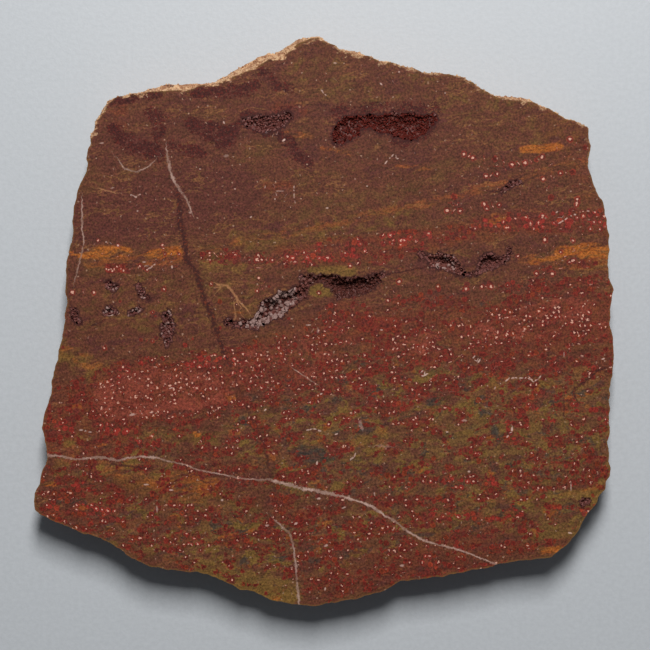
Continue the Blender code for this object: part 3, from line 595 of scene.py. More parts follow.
def close_sawn_face(shell, level, spacing, material_index):
    """Fills the opening at this level with an even net of points, so that stains and lines show on it."""
    rim = [e for e in shell.edges if e.is_boundary and all(abs(v.co.z - level) < FLAT for v in e.verts)]
    corners = list(dict.fromkeys(v for edge in rim for v in edge.verts))
    index = {v: k for k, v in enumerate(corners)}
    lines = [tuple((v.co.x, v.co.y) for v in edge.verts) for edge in rim]
    distance = finder([(v.co.x, v.co.y) for v in corners])
    draw = np.random.default_rng(NET_SEED)
    xs = np.arange(LOW.x, HIGH.x, spacing)
    ys = np.arange(LOW.y, HIGH.y, spacing * math.sqrt(0.75))
    net = np.array([(x + spacing * (row % 2) / 2, y) for row, y in enumerate(ys) for x in xs])
    net += draw.uniform(-NET_STRAY, NET_STRAY, net.shape) * spacing
    net = [point for point in net[inside(net, lines)] if distance(point) > 0.5 * spacing]
    flat = [Vector((v.co.x, v.co.y)) for v in corners] + [Vector(point) for point in net]
    edges = [tuple(index[v] for v in edge.verts) for edge in rim]
    made = geometry.delaunay_2d_cdt(flat, edges, [], 0, 1e-9)
    places, triangles, origins = made[0], made[2], made[3]
    middles = np.array([sum((places[k] for k in face), Vector((0.0, 0.0))) / 3 for face in triangles])
    joined = [
        corners[origin[0]] if origin and origin[0] < len(corners) else shell.verts.new((*place, level))
        for place, origin in zip(places, origins)
    ]
    for face, wanted in zip(triangles, inside(middles, lines)):
        if wanted:
            turned = face if level == HIGH.z else tuple(reversed(face))
            shell.faces.new([joined[k] for k in turned]).material_index = material_index


def new_object(name, data, materials=()):
    """An object at the origin with this mesh, light or camera and these materials."""
    made = bpy.data.objects.new(name, data)
    for finish in materials:
        data.materials.append(finish)
    bpy.context.scene.collection.objects.link(made)
    return made


def vertex_places(mesh):
    """The mesh's vertices as rows of metres."""
    places = np.empty(len(mesh.vertices) * 3, np.float32)
    mesh.vertices.foreach_get("co", places)
    return places.reshape(-1, 3).astype(float)


def keep_field(mesh, name, values):
    """Stores a number or a vector for each vertex under a name that the materials read."""
    values = np.asarray(values, np.float32)
    kind, part = ("FLOAT", "value") if values.ndim == 1 else ("FLOAT_VECTOR", "vector")
    mesh.attributes.new(name, kind, "POINT").data.foreach_set(part, values.ravel())


# Heights, in shares of the thickness, below which there is no hematite and above which there is all of it.
HEMATITE_GONE, HEMATITE_FULL = 0.5, 0.8


def paint_stains(mesh):
    """Gives every vertex its share of each pigment and its place beside each kind of line."""
    places = vertex_places(mesh)
    on_face = places[:, :2] / MM
    for name, strokes in STAINS.items():
        field = stain(on_face, strokes)
        if name == "hematite":
            height = places[:, 2] / THICKNESS
            field *= ((height - HEMATITE_GONE) / (HEMATITE_FULL - HEMATITE_GONE)).clip(0.0, 1.0)
        keep_field(mesh, name, field)
    for name, strokes in LINES.items():
        offset, strength = line_field(on_face, strokes)
        keep_field(mesh, name + "_offset", offset.clip(-20.0, 20.0))
        keep_field(mesh, name + "_strength", strength)
    # The pale flecks, among them painted glints of light, each in its own frame.
    keep_field(mesh, "fleck_and_glint", in_own_frame(on_face, PALE_FLECKS_AND_GLINTS))
    lone = [(x, y, radius, radius, 0.0, heart) for x, y, radius, heart in LONE_GRAINS]
    keep_field(mesh, "lone", in_own_frame(on_face, lone))


class Wire:
    """One result of a node. The signs + - * / put down a Math node for each step."""

    def __init__(self, board, socket):
        self.board, self.socket = board, socket

    def __add__(self, other):
        return self.board.math("ADD", self, other)

    def __sub__(self, other):
        return self.board.math("SUBTRACT", self, other)

    def __rsub__(self, other):
        return self.board.math("SUBTRACT", other, self)

    def __mul__(self, other):
        return self.board.math("MULTIPLY", self, other)

    def __truediv__(self, other):
        return self.board.math("DIVIDE", self, other)


class Placed:
    """A node on a board, whose results are read by name or number."""

    def __init__(self, board, node):
        self.board, self.node = board, node

    def __getitem__(self, key):
        return Wire(self.board, self.node.outputs[key])


# Sockets of node groups that aren't plain numbers.
KINDS = {"Vector": "Vector", "Cut": "Vector", "Place": "Vector", "Colour": "Color", "Geometry": "Geometry"}


class Board:
    """Places and wires the nodes of one tree."""

    def __init__(self, tree):
        self.tree = tree

    def put(self, kind, inputs=(), **settings):
        """A node with these settings, its inputs fed by name or number."""
        node = self.tree.nodes.new(kind)
        for name, value in settings.items():
            setattr(node, name, value)
        for socket, value in dict(inputs).items():
            self.feed(node.inputs[socket], value)
        return Placed(self, node)

    def feed(self, socket, value):
        """A socket takes a wire or a plain value; colours come without their alpha."""
        if isinstance(value, Wire):
            self.tree.links.new(value.socket, socket)
        elif socket.type == "RGBA":
            socket.default_value = (*value, 1.0)
        else:
            socket.default_value = value

    def math(self, operation, *values):
        """The result of a Math node."""
        return self.put("ShaderNodeMath", enumerate(values), operation=operation)[0]

    def mix(self, share, under, over, blend="MIX"):
        """Colour over laid on colour under by this share."""
        wired = {0: share, 6: under, 7: over}
        return self.put("ShaderNodeMix", wired, data_type="RGBA", blend_type=blend)[2]

    def ramp(self, value, start, end, first, last, curve="LINEAR"):
        """From first at start to last at end, held level outside."""
        wired = {0: value, 1: start, 2: end, 3: first, 4: last}
        return self.put("ShaderNodeMapRange", wired, interpolation_type=curve)[0]

    def fade(self, value, start, end):
        """0 before start and 1 after end, smooth between; start may be the larger."""
        return self.ramp(value, start, end, 0.0, 1.0, "SMOOTHSTEP")

    def noise(self, vector, size, detail=2.0, roughness=0.5, result="Fac"):
        """Noise whose lumps have this size, in the units of the vector."""
        wired = {"Vector": vector, "Scale": 1.0 / size, "Detail": detail, "Roughness": roughness}
        return self.put("ShaderNodeTexNoise", wired)[result]

    def grow(self, vector, factor):
        """A vector multiplied by a number or by three."""
        factor = factor if hasattr(factor, "__len__") else (factor,) * 3
        return self.put("ShaderNodeVectorMath", {0: vector, 1: factor}, operation="MULTIPLY")[0]

    def add(self, vector, other):
        """The sum of two vectors."""
        return self.put("ShaderNodeVectorMath", {0: vector, 1: other}, operation="ADD")[0]

    def parts(self, vector):
        """The three numbers of a vector."""
        numbers = self.put("ShaderNodeSeparateXYZ", {0: vector})
        return [numbers[k] for k in range(3)]

    def field(self, name, result="Fac"):
        """What the mesh keeps for each vertex under this name."""
        return self.put("ShaderNodeAttribute", attribute_name=name)[result]

    def group(self, tree, **inputs):
        """A node group fed by its inputs' names."""
        return self.put("ShaderNodeGroup", inputs, node_tree=tree)

    def give(self, **results):
        """Ends the tree: its results by name."""
        for label in results:
            kind = "NodeSocket" + KINDS.get(label, "Float")
            self.tree.interface.new_socket(label, in_out="OUTPUT", socket_type=kind)
        self.put("NodeGroupOutput", results)
        return self.tree


def new_group(name, inputs):
    """A shader node group: the board to build it on, and what it is given."""
    tree = bpy.data.node_groups.new(name, "ShaderNodeTree")
    for label in inputs.split():
        tree.interface.new_socket(label, in_out="INPUT", socket_type="NodeSocket" + KINDS.get(label, "Float"))
    board = Board(tree)
    return board, board.put("NodeGroupInput")


def grains_group():
    """Round grains cut by the saw: where a disc shows, its bright rim, its pale heart and its shade."""
    board, given = new_group("Round grains", "Vector Density Spacing Radius Heart Hearted")
    vector, spacing = given["Vector"], given["Spacing"]
    cell = {"Vector": vector, "Scale": board.math("DIVIDE", 1.0, spacing), "Randomness": 0.95}
    cells = board.put("ShaderNodeTexVoronoi", cell, voronoi_dimensions="2D")
    chance = board.put("ShaderNodeSeparateColor", {0: cells["Color"]})
    gap = cells["Distance"] * spacing
    ragged = (board.noise(vector, 0.5 * MM, 1.0) - 0.5) * (0.35 * MM) + gap
    share = ragged / (given["Radius"] * (chance[2] * 0.4 + 0.7))
    torn = board.noise(board.add(vector, (0.01, 0.02, 0.0)), 0.3 * MM, 1.0) - 0.5
    heart_size = given["Heart"] * (chance[2] * 0.7 + 0.6)
    heart = board.fade((torn * (0.9 * MM) + gap) / heart_size, 1.15, 0.6)
    there = board.math("GREATER_THAN", given["Density"], chance[0])
    hearted = board.math("GREATER_THAN", given["Hearted"], chance[1])
    return board.give(
        Disc=board.fade(share, 1.1, 0.85) * there,
        Halo=board.fade(share, 1.7, 1.1) * there,
        Rim=board.fade(share, 0.35, 0.8),
        Heart=heart * (hearted * there),
        Shade=chance[1],
    )


def line_group():
    """A thin ragged line from its offset in half widths and its strength."""
    board, given = new_group("Thin line", "Vector Offset Strength")
    waver = board.noise(given["Vector"], 0.9 * MM, 3.0, 0.7) - 0.5
    off = board.math("ABSOLUTE", waver * 4.2 + given["Offset"])
    breaks = board.fade(board.noise(given["Vector"], 1.1 * MM, 3.0, 0.7), 0.25, 0.48)
    return board.give(Mask=board.fade(off, 1.1, 0.5) * given["Strength"] * breaks)


def patch_group():
    """A stain's soft field made a patch with a ragged, streaky edge."""
    board, given = new_group("Ragged patch", "Field Breakup Reach Sharpness")
    pushed = given["Field"] + (given["Breakup"] - 0.5) * given["Reach"]
    edge = board.fade(pushed, 0.5 - given["Sharpness"], given["Sharpness"] + 0.5)
    return board.give(Mask=edge * board.fade(given["Field"], 0.02, 0.2))


def mark_group():
    """An oval mark from the place beside it in its own half lengths; the third number is its value."""
    board, given = new_group("Oval mark", "Vector Place")
    waver = board.noise(given["Vector"], 0.35 * MM, 1.0) - 0.5
    x, y, value = board.parts(given["Place"])
    return board.give(Share=waver * 1.1 + board.math("SQRT", x * x + y * y), Value=value)


def rock_group(look, grains, line, patch, mark):
    """The coloured body of the rock. Cut is the place on the cut face, where the grains lie."""
    board, given = new_group("Rock", "Vector Cut")
    vector, cut = given["Vector"], given["Cut"]
    fade, field, mix = board.fade, board.field, board.mix
    place = board.grow(vector, 1.0 / MM)
    swirl = board.noise(place, 5.0, result="Color")
    bent = board.add(place, board.grow(board.add(swirl, (-0.5, -0.5, -0.5)), 3.2))
    turn = {"Vector": bent, "Angle": -math.atan(BAND_RISE)}
    along = board.put("ShaderNodeVectorRotate", turn, rotation_type="Z_AXIS")[0]

    def banded(long, high, detail=3.0, roughness=0.6, shift=0.0):
        stretched = board.grow(board.add(along, (shift, shift, shift)), (1.0 / long, 1.0 / high, 1.0 / high))
        return board.noise(stretched, 1.0, detail, roughness)

    def stained(name, breakup, reach, sharpness):
        return board.group(patch, Field=field(name), Breakup=breakup, Reach=reach, Sharpness=sharpness)[0]

    def lay(mask, pigment, most=1.0):
        nonlocal colour
        colour = mix(mask * most, colour, pigment)

    def shade(value, dark, light):
        nonlocal colour
        colour = mix(1.0, colour, board.ramp(value, 0.3, 0.7, dark, light), "MULTIPLY")

    broad, streak = banded(16.0, 5.0), banded(6.0, 1.0, 4.0, 0.65)
    mottle = banded(2.6, 1.5, 4.0, 0.62)
    fine, grit = board.noise(place, 0.42, 2.0, 0.65), board.noise(place, 0.16, 1.0)
    flicker = board.noise(board.add(place, (13.0, 5.0, 29.0)), 0.55, 2.0, 0.6)

    # The body of the rock and its stains.
    body = broad * 0.5 + mottle * 0.5
    colour = mix(fade(body, 0.36, 0.5), look.umber, look.brown)
    lay(fade(body, 0.5, 0.62), look.tan)
    lay(stained("plum", broad, 0.9, 0.4), look.plum, 0.85)
    lay(stained("olive", mottle, 1.5, 0.35), look.olive, 0.8)
    rust = fade(field("ochre"), 0.1, 0.75)
    lay(stained("ochre", streak, 5.0, 0.3) * rust, look.ochre, 0.9)
    lay(stained("ochre", banded(4.0, 0.8, 3.0, 0.6, 71.0), 5.0, 0.2) * rust, look.amber, 0.25)
    ridge = board.math("ABSOLUTE", banded(8.0, 1.7, 3.0, 0.5, 31.0) - 0.5)
    lay(fade(ridge, 0.03, 0.006) * fade(banded(9.0, 4.0, 2.0, 0.5, 57.0), 0.48, 0.6), look.wisp, 0.4)
    medley = field("medley")
    lay(medley, look.khaki, 0.5)
    for shift, pigment, least, most in (
        (11.0, look.soot, 0.54, 0.75), (23.0, look.olive, 0.51, 0.8), (41.0, look.ochre, 0.62, 0.7),
        (67.0, look.plum, 0.51, 0.75),
    ):
        lay(fade(banded(3.4, 2.0, 3.0, 0.6, shift), least, least + 0.07) * medley, pigment, most)
    lay(stained("soot", mottle, 1.6, 0.3), look.soot, 0.85)

    # Where the round grains gather, and the red ground around them.
    crowding, rose = field("grains"), field("rose")
    density = crowding * (field("olive") * -0.65 + 1.0)
    blush = (banded(4.5, 2.6, 4.0, 0.65, 19.0) - 0.5) * 4.4
    rosy = fade(rose + blush, 0.55, 1.15) * fade(rose, 0.1, 0.6)
    clump = (banded(5.0, 2.6, 4.0, 0.62, 83.0) - 0.5) * 8.5
    crowd = (density - 0.06 + clump) * fade(density, 0.02, 0.3)
    crowd = board.math("MINIMUM", crowd, rosy * -0.25 + 0.9)
    haze = board.math("MAXIMUM", fade(crowd + (fine - 0.5), 0.2, 1.05), stained("scarlet", mottle, 1.6, 0.4))
    vivid = fade(crowding, 0.85, 1.1)
    plain = 1.0 - vivid
    lay(haze * (plain * 0.3 + 0.42), look.brick)
    lay(haze * vivid, look.grain_red, 0.2)
    lay(fade(field("scarlet"), 0.8, 0.95), look.grain_red, 0.45)
    lay(rosy, look.rose, 0.8)
    lay(fade(flicker, 0.55, 0.72), look.olive, 0.3)
    lay(fade(flicker, 0.45, 0.3), look.plum, 0.45)

    # The grains themselves: small ones, large ones, and those that stand alone.
    small = board.group(
        grains, Vector=board.add(cut, (7 * MM, 3 * MM, 0.0)), Density=crowd * plain - 0.3,
        Spacing=0.8 * look.grain_spacing, Radius=0.62 * look.grain_radius, Heart=0.11 * MM, Hearted=0.1,
    )
    large = board.group(
        grains, Vector=cut, Density=board.math("MAXIMUM", crowd, density * 0.16), Spacing=look.grain_spacing,
        Radius=look.grain_radius, Heart=rose * (0.02 * MM) + 0.155 * MM, Hearted=rose * 1.1 + 0.14,
    )
    calm = rosy * -0.6 + 1.0
    for grain in (small, large):
        lit = vivid * 0.45 + (grain["Shade"] * 0.7 - 0.15)
        red = mix(grain["Rim"] * 0.5 + lit, look.grain_dark, look.grain_red)
        lot = board.math("FRACT", grain["Shade"] * 7.3)
        for mask, pigment, most in (
            (vivid, look.scarlet, 0.7), (fade(lot, 0.8, 0.9), look.ochre, 0.2),
            (fade(lot, 0.25, 0.15), look.plum, 0.5),
        ):
            red = mix(mask * most, red, pigment)
        lay(grain["Halo"] * calm, look.seam, 0.3)
        lay(grain["Disc"] * calm, red)
    lone = board.group(mark, Vector=vector, Place=field("lone", "Vector"))
    lone_red = mix(fade(lone["Share"], 0.4, 0.8), look.grain_dark, look.grain_red)
    lay(fade(lone["Share"], 1.25, 0.75), lone_red, 0.9)
    lone_heart = fade(lone["Value"] - lone["Share"], -0.1, 0.08)
    lone_heart = lone_heart * board.math("GREATER_THAN", lone["Value"], 0.01)

    # Dark patches, the shade of the rock's own texture, and the edges of the cut.
    hematite = stained("hematite", mottle * 0.5 + flicker * 0.5, 8.0, 0.13)
    lay(hematite, mix(fade(flicker, 0.48, 0.68), look.hematite, look.grain_dark), 0.92)
    shade(fine, 0.5, 1.55)
    shade(streak, 0.8, 1.22)
    edge = field("edge")
    lay(fade(field("lip") + (fine * 1.1 + mottle), 1.5, 1.15), look.seam, 0.85)
    lay(fade(fine * 1.2 + edge, 0.95, 0.6), look.worn, 0.45)
    pale = mix(fade(flicker, 0.4, 0.6), look.rind_shade, look.rind)
    lay(fade(edge + mottle * 6.0, 3.3, 2.7) * field("rind"), pale)

    # Lines, hearts, specks and flecks lie on top; some of the flecks are painted glints of light.
    rusty = mix(fade(flicker, 0.5, 0.68), look.seam, look.brick)
    kinds = (("dark", rusty, 0.92), ("orange", look.thread, 0.75), ("pale", look.vein, 0.9))
    for name, pigment, most in kinds:
        offset, strength = field(name + "_offset"), field(name + "_strength")
        lay(board.group(line, Vector=vector, Offset=offset, Strength=strength)[0], pigment, most)
    lively = fade(banded(3.0, 3.0, 2.0, 0.6, 97.0), 0.42, 0.58) * strength
    lay(board.group(line, Vector=vector, Offset=offset * 1.7, Strength=lively)[0], look.fleck_and_glint, 0.6)
    for heart in (small["Heart"], large["Heart"], lone_heart):
        lay(heart, look.heart, 0.9)
    specks = board.group(
        grains, Vector=board.add(cut, (31 * MM, 17 * MM, 0.0)), Density=0.4, Spacing=1.7 * MM,
        Radius=0.1 * MM, Heart=0.12 * MM, Hearted=1.0,
    )
    lay(specks["Heart"] * specks["Shade"], look.speck, 0.8)
    # Pale flecks: part pale quartz, part painted glints where light catches tiny crystals.
    fleck_and_glint = board.group(mark, Vector=vector, Place=field("fleck_and_glint", "Vector"))
    lay(fade(fleck_and_glint["Share"], 1.1, 0.5) * fleck_and_glint["Value"], look.fleck_and_glint, 0.95)
    shade(grit, 0.8, 1.22)
    return board.give(Colour=colour, Disc=large["Disc"], Grit=grit)


def new_material(name, specular=None):
    """An empty material: with it, the board to build it on, its shader and the place on the object."""
    made = bpy.data.materials.new(name)
    made.use_nodes = True
    made.node_tree.nodes.clear()
    board = Board(made.node_tree)
    shader = board.put("ShaderNodeBsdfPrincipled")
    board.put("ShaderNodeOutputMaterial", {"Surface": shader[0]})
    if specular is not None:
        shader.node.inputs["Specular IOR Level"].default_value = specular
    return made, board, shader.node.inputs, board.put("ShaderNodeTexCoord")["Object"]


def dress(board, sockets, colour, roughness, height=None, depth=0.0):
    """Feeds a shader's sockets: its colour, its roughness and fine relief of this depth in metres."""
    board.feed(sockets["Base Color"], colour)
    board.feed(sockets["Roughness"], roughness)
    if height:
        relief = board.put("ShaderNodeBump", {"Strength": 1.0, "Distance": depth, "Height": height})
        board.feed(sockets["Normal"], relief[0])


def sawn_stone(look, rock):
    """Satin sawn rock with saw grain; the grains are a little glossier."""
    made, board, sockets, vector = new_material("Sawn stone", 0.1)
    x, y, z = board.parts(vector)
    on_cut = board.put("ShaderNodeCombineXYZ", {0: z * 3.7 + x, 1: z * 1.3 + y})[0]
    stone = board.group(rock, Vector=vector, Cut=on_cut)
    roughness = stone["Disc"] * -0.05 + (stone["Grit"] * 0.16 + (look.satin - 0.08))
    dress(board, sockets, stone["Colour"], roughness, stone["Grit"], 0.012 * MM)
    return made


def broken_stone(look, rock):
    """Rough broken rock of the wall, with its pale rind."""
    made, board, sockets, vector = new_material("Broken stone")
    x, y, z = board.parts(vector)
    round_wall = board.math("ARCTAN2", y, x) * (0.5 * (HIGH.x - LOW.x))
    on_wall = board.put("ShaderNodeCombineXYZ", {0: round_wall, 1: z})[0]
    colour = board.group(rock, Vector=vector, Cut=on_wall)["Colour"]
    dust = board.noise(vector, 0.8 * MM, 4.0, 0.7)
    colour = board.mix(board.fade(dust, 0.35, 0.75) * 0.5, colour, look.dust)
    rind = board.field("rind")
    blotch = board.noise(vector, 5.0 * MM, 3.0, 0.6) - 0.5
    high = z * (0.9 / THICKNESS) - 0.45
    patchy = (blotch * 3.2 + rind * 0.55) + (dust * 0.9 - 0.45) + high
    covered = board.fade(patchy * board.fade(rind, 0.05, 0.3), 0.35, 0.6)
    crumbly = board.noise(vector, 1.1 * MM, 4.0, 0.7)
    cream = board.mix(board.fade(crumbly, 0.4, 0.62), look.rind_shade, look.rind)
    pitted = board.noise(vector, 0.3 * MM, 4.0, 0.7)
    dress(board, sockets, board.mix(covered, colour, cream), dust * 0.2 + 0.7, pitted, 0.08 * MM)
    return made


def hollow_lining(look):
    """The dark, granular lining of a hollow."""
    made, board, sockets, vector = new_material("Hollow lining", 0.3)
    lumps = board.noise(vector, 0.45 * MM, 3.0, 0.7)
    colour = board.mix(board.fade(lumps, 0.35, 0.7), look.hollow_dark, look.hollow_light)
    depth = HIGH.z - board.parts(vector)[2]
    near_face = board.fade(lumps * (1.0 * MM) + depth, 1.5 * MM, 0.7 * MM)
    dress(board, sockets, board.mix(near_face, colour, look.hematite), lumps * 0.4 + 0.25, lumps, 0.1 * MM)
    return made


def quartz(name, dark, light, share, clearness, roughness, gathered):
    """See-through quartz; each crystal's tone picks the dark stain or, for some near one place, the light."""
    made, board, sockets, vector = new_material(name, 0.12)
    *middle, reach = gathered
    ends = {0: board.grow(vector, (1.0, 1.0, 0.0)), 1: (*middle, 0.0)}
    away = board.put("ShaderNodeVectorMath", ends, operation="DISTANCE")["Value"]
    near = board.fade(away, reach, 0.5 * reach) * share
    cloud = board.noise(vector, 1.8 * MM)
    lot = (cloud - 0.5) * 1.6 + (board.field("tone") * 0.6 + near)
    grain = board.fade(board.noise(vector, 0.25 * MM), 0.35, 0.65)
    shaded = board.mix(grain, [0.7 * c for c in dark], [1.6 * c for c in dark])
    dress(board, sockets, board.mix(board.fade(lot, 0.8, 1.0), shaded, light), cloud * 0.3 + roughness)
    sockets["IOR"].default_value = QUARTZ_IOR
    sockets["Transmission Weight"].default_value = clearness
    return made


def chalky(look):
    """Chalky crumbs of the rind, cream to peach."""
    made, board, sockets, vector = new_material("Rind crumb")
    tone = board.fade(board.noise(vector, 1.6 * MM, 4.0, 0.7), 0.36, 0.56)
    dress(board, sockets, board.mix(tone, look.rind_shade, look.rind), tone * 0.2 + 0.7)
    return made


def paper(look):
    """Plain matt paper with a faint tooth."""
    made, board, sockets, vector = new_material("Paper", 0.6)
    tooth = board.noise(vector, 0.9 * MM, 4.0, 0.7)
    shade = board.mix(board.fade(tooth, 0.3, 0.7), (0.93, 0.93, 0.93), (1.0, 1.0, 1.0))
    colour = board.mix(1.0, look.floor, shade, "MULTIPLY")
    dress(board, sockets, colour, tooth * 0.1 + 0.45, tooth, 0.03 * MM)
    return made


SCATTER_INPUTS = (
    ("Spacing", "Float", 0.5 * MM), ("Cover", "Float", 1.0), ("Smallest", "Float", 0.3 * MM),
    ("Largest", "Float", 0.9 * MM), ("Seed", "Int", 3), ("Material", "Material", None),
)


def new_geometry_tree(name, *more):
    """A Geometry Nodes tree that takes geometry and named inputs: its board, and what it is given."""
    tree = bpy.data.node_groups.new(name, "GeometryNodeTree")
    tree.interface.new_socket("Geometry", in_out="INPUT", socket_type="NodeSocketGeometry")
    for label, kind, default in (*SCATTER_INPUTS, *more):
        socket = tree.interface.new_socket(label, in_out="INPUT", socket_type="NodeSocket" + kind)
        if default is not None:
            socket.default_value = default
    board = Board(tree)
    return board, board.put("NodeGroupInput")


def scattered(board, given, shape, tilt):
    """Ends a tree: the shape on points of the surface, each with its own size, turn and tone, made real."""
    spacing, seed = given["Spacing"], given["Seed"]
    on_surface = {
        "Mesh": given["Geometry"], "Distance Min": spacing, "Density Factor": given["Cover"], "Seed": seed,
        "Density Max": board.math("DIVIDE", 1.0, board.math("POWER", spacing, 2.0)),
    }
    points = board.put("GeometryNodeDistributePointsOnFaces", on_surface, distribute_method="POISSON")
    sizes = {2: given["Smallest"], 3: given["Largest"], "Seed": seed}
    size = board.put("FunctionNodeRandomValue", sizes, data_type="FLOAT")[1]
    most = (tilt, tilt, math.pi)
    spins = {0: tuple(-turn for turn in most), 1: most, "Seed": seed}
    spin = board.put("FunctionNodeRandomValue", spins, data_type="FLOAT_VECTOR")[0]
    placed = {"Points": points["Points"], "Instance": shape, "Rotation": points["Rotation"], "Scale": size}
    set_on = board.put("GeometryNodeInstanceOnPoints", placed)[0]
    turned = board.put("GeometryNodeRotateInstances", {"Instances": set_on, "Rotation": spin})[0]
    tone = board.put("FunctionNodeRandomValue", {"Seed": seed}, data_type="FLOAT")[1]
    toned = board.put(
        "GeometryNodeStoreNamedAttribute", {"Geometry": turned, "Name": "tone", "Value": tone},
        data_type="FLOAT", domain="INSTANCE",
    )[0]
    real = board.put("GeometryNodeRealizeInstances", {0: toned})[0]
    dressed = board.put("GeometryNodeSetMaterial", {"Geometry": real, "Material": given["Material"]})
    return board.give(Geometry=dressed[0])


def crystal_tree():
    """Six-sided pointed crystals that stand on a surface."""
    board, given = new_geometry_tree("Crystal crust", ("Girth", "Float", 0.38))
    shaft = {"Vertices": 6, "Radius": given["Girth"], "Depth": 0.9}
    shaft = board.put("GeometryNodeMeshCylinder", shaft, fill_type="NGON")["Mesh"]
    point = {"Vertices": 6, "Radius Top": 0.0, "Radius Bottom": given["Girth"], "Depth": 0.4}
    point = board.put("GeometryNodeMeshCone", point, fill_type="NGON")["Mesh"]
    lifted = board.put("GeometryNodeTransform", {"Geometry": point, "Translation": (0.0, 0.0, 0.45)})[0]
    crystal = board.put("GeometryNodeJoinGeometry")
    for half in (shaft, lifted):
        board.feed(crystal.node.inputs[0], half)
    return scattered(board, given, crystal[0], 0.45)


def crumb_tree():
    """Small angular crumbs that cling to a surface."""
    board, given = new_geometry_tree("Crumbs")
    crumb = board.put("GeometryNodeMeshIcoSphere", {"Radius": 0.5, "Subdivisions": 1})["Mesh"]
    squat = board.put("GeometryNodeTransform", {"Geometry": crumb, "Scale": (1.0, 0.75, 0.6)})[0]
    return scattered(board, given, squat, math.pi)


def grown(name, surface, tree, **settings):
    """A piece in the slab's box that a Geometry Nodes tree grows on a surface mesh."""
    host = new_object(name + "_host", surface)
    modifier = host.modifiers.new("grow", "NODES")
    modifier.node_group = tree
    for item in tree.interface.items_tree:
        if item.in_out == "INPUT" and item.name in settings:
            modifier[item.identifier] = settings[item.name]
    bpy.context.view_layer.update()
    evaluated = host.evaluated_get(bpy.context.evaluated_depsgraph_get())
    mesh = bpy.data.meshes.new_from_object(evaluated)
    if not mesh.polygons:
        raise RuntimeError("nothing grew on the surface of " + name)
    mesh.name = name
    bpy.data.objects.remove(host)
    places = vertex_places(mesh).clip(np.array(LOW), np.array(HIGH - Vector((0, 0, FLAT))))
    mesh.vertices.foreach_set("co", places.astype(np.float32).ravel())
    mesh.update()
    return new_object(name, mesh)


def faces_as_mesh(name, source, wanted):
    """A new mesh of the source's faces for which wanted(centre, material index) is true."""
    part = bmesh.new()
    part.from_mesh(source)
    gone = [f for f in part.faces if not wanted(f.calc_center_median(), f.material_index)]
    bmesh.ops.delete(part, geom=gone, context="FACES")
    mesh = bpy.data.meshes.new(name)
    part.to_mesh(mesh)
    part.free()
    return mesh


SAWN, BROKEN, LINING = 0, 1, 2


def length(name, words, value):
    """A length property in metres."""
    return FloatProperty(name=name, description=words, default=value, unit="LENGTH")


def pigment(name, words, value):
    """A colour property in linear red, green and blue."""
    return FloatVectorProperty(
        name=name, description=words, subtype="COLOR", size=3, min=0.0, max=1.0, default=value
    )


class SlabShape(bpy.types.PropertyGroup):
    """How finely the slab is made and how rough its broken faces are."""

    front_spacing: length("Front net", "Spacing of the points on the sawn front face", 0.56 * MM)
    back_spacing: length("Back net", "Spacing of the points on the sawn back", 1.0 * MM)
    wall_edge: length("Wall net", "Longest edge on the broken wall", 0.75 * MM)
    wall_depth: length("Wall roughness", "How deep the broken wall's lumps are", 0.4 * MM)
    hollow_depth: length("Hollow roughness", "How deep the hollows' lumps are", 0.9 * MM)


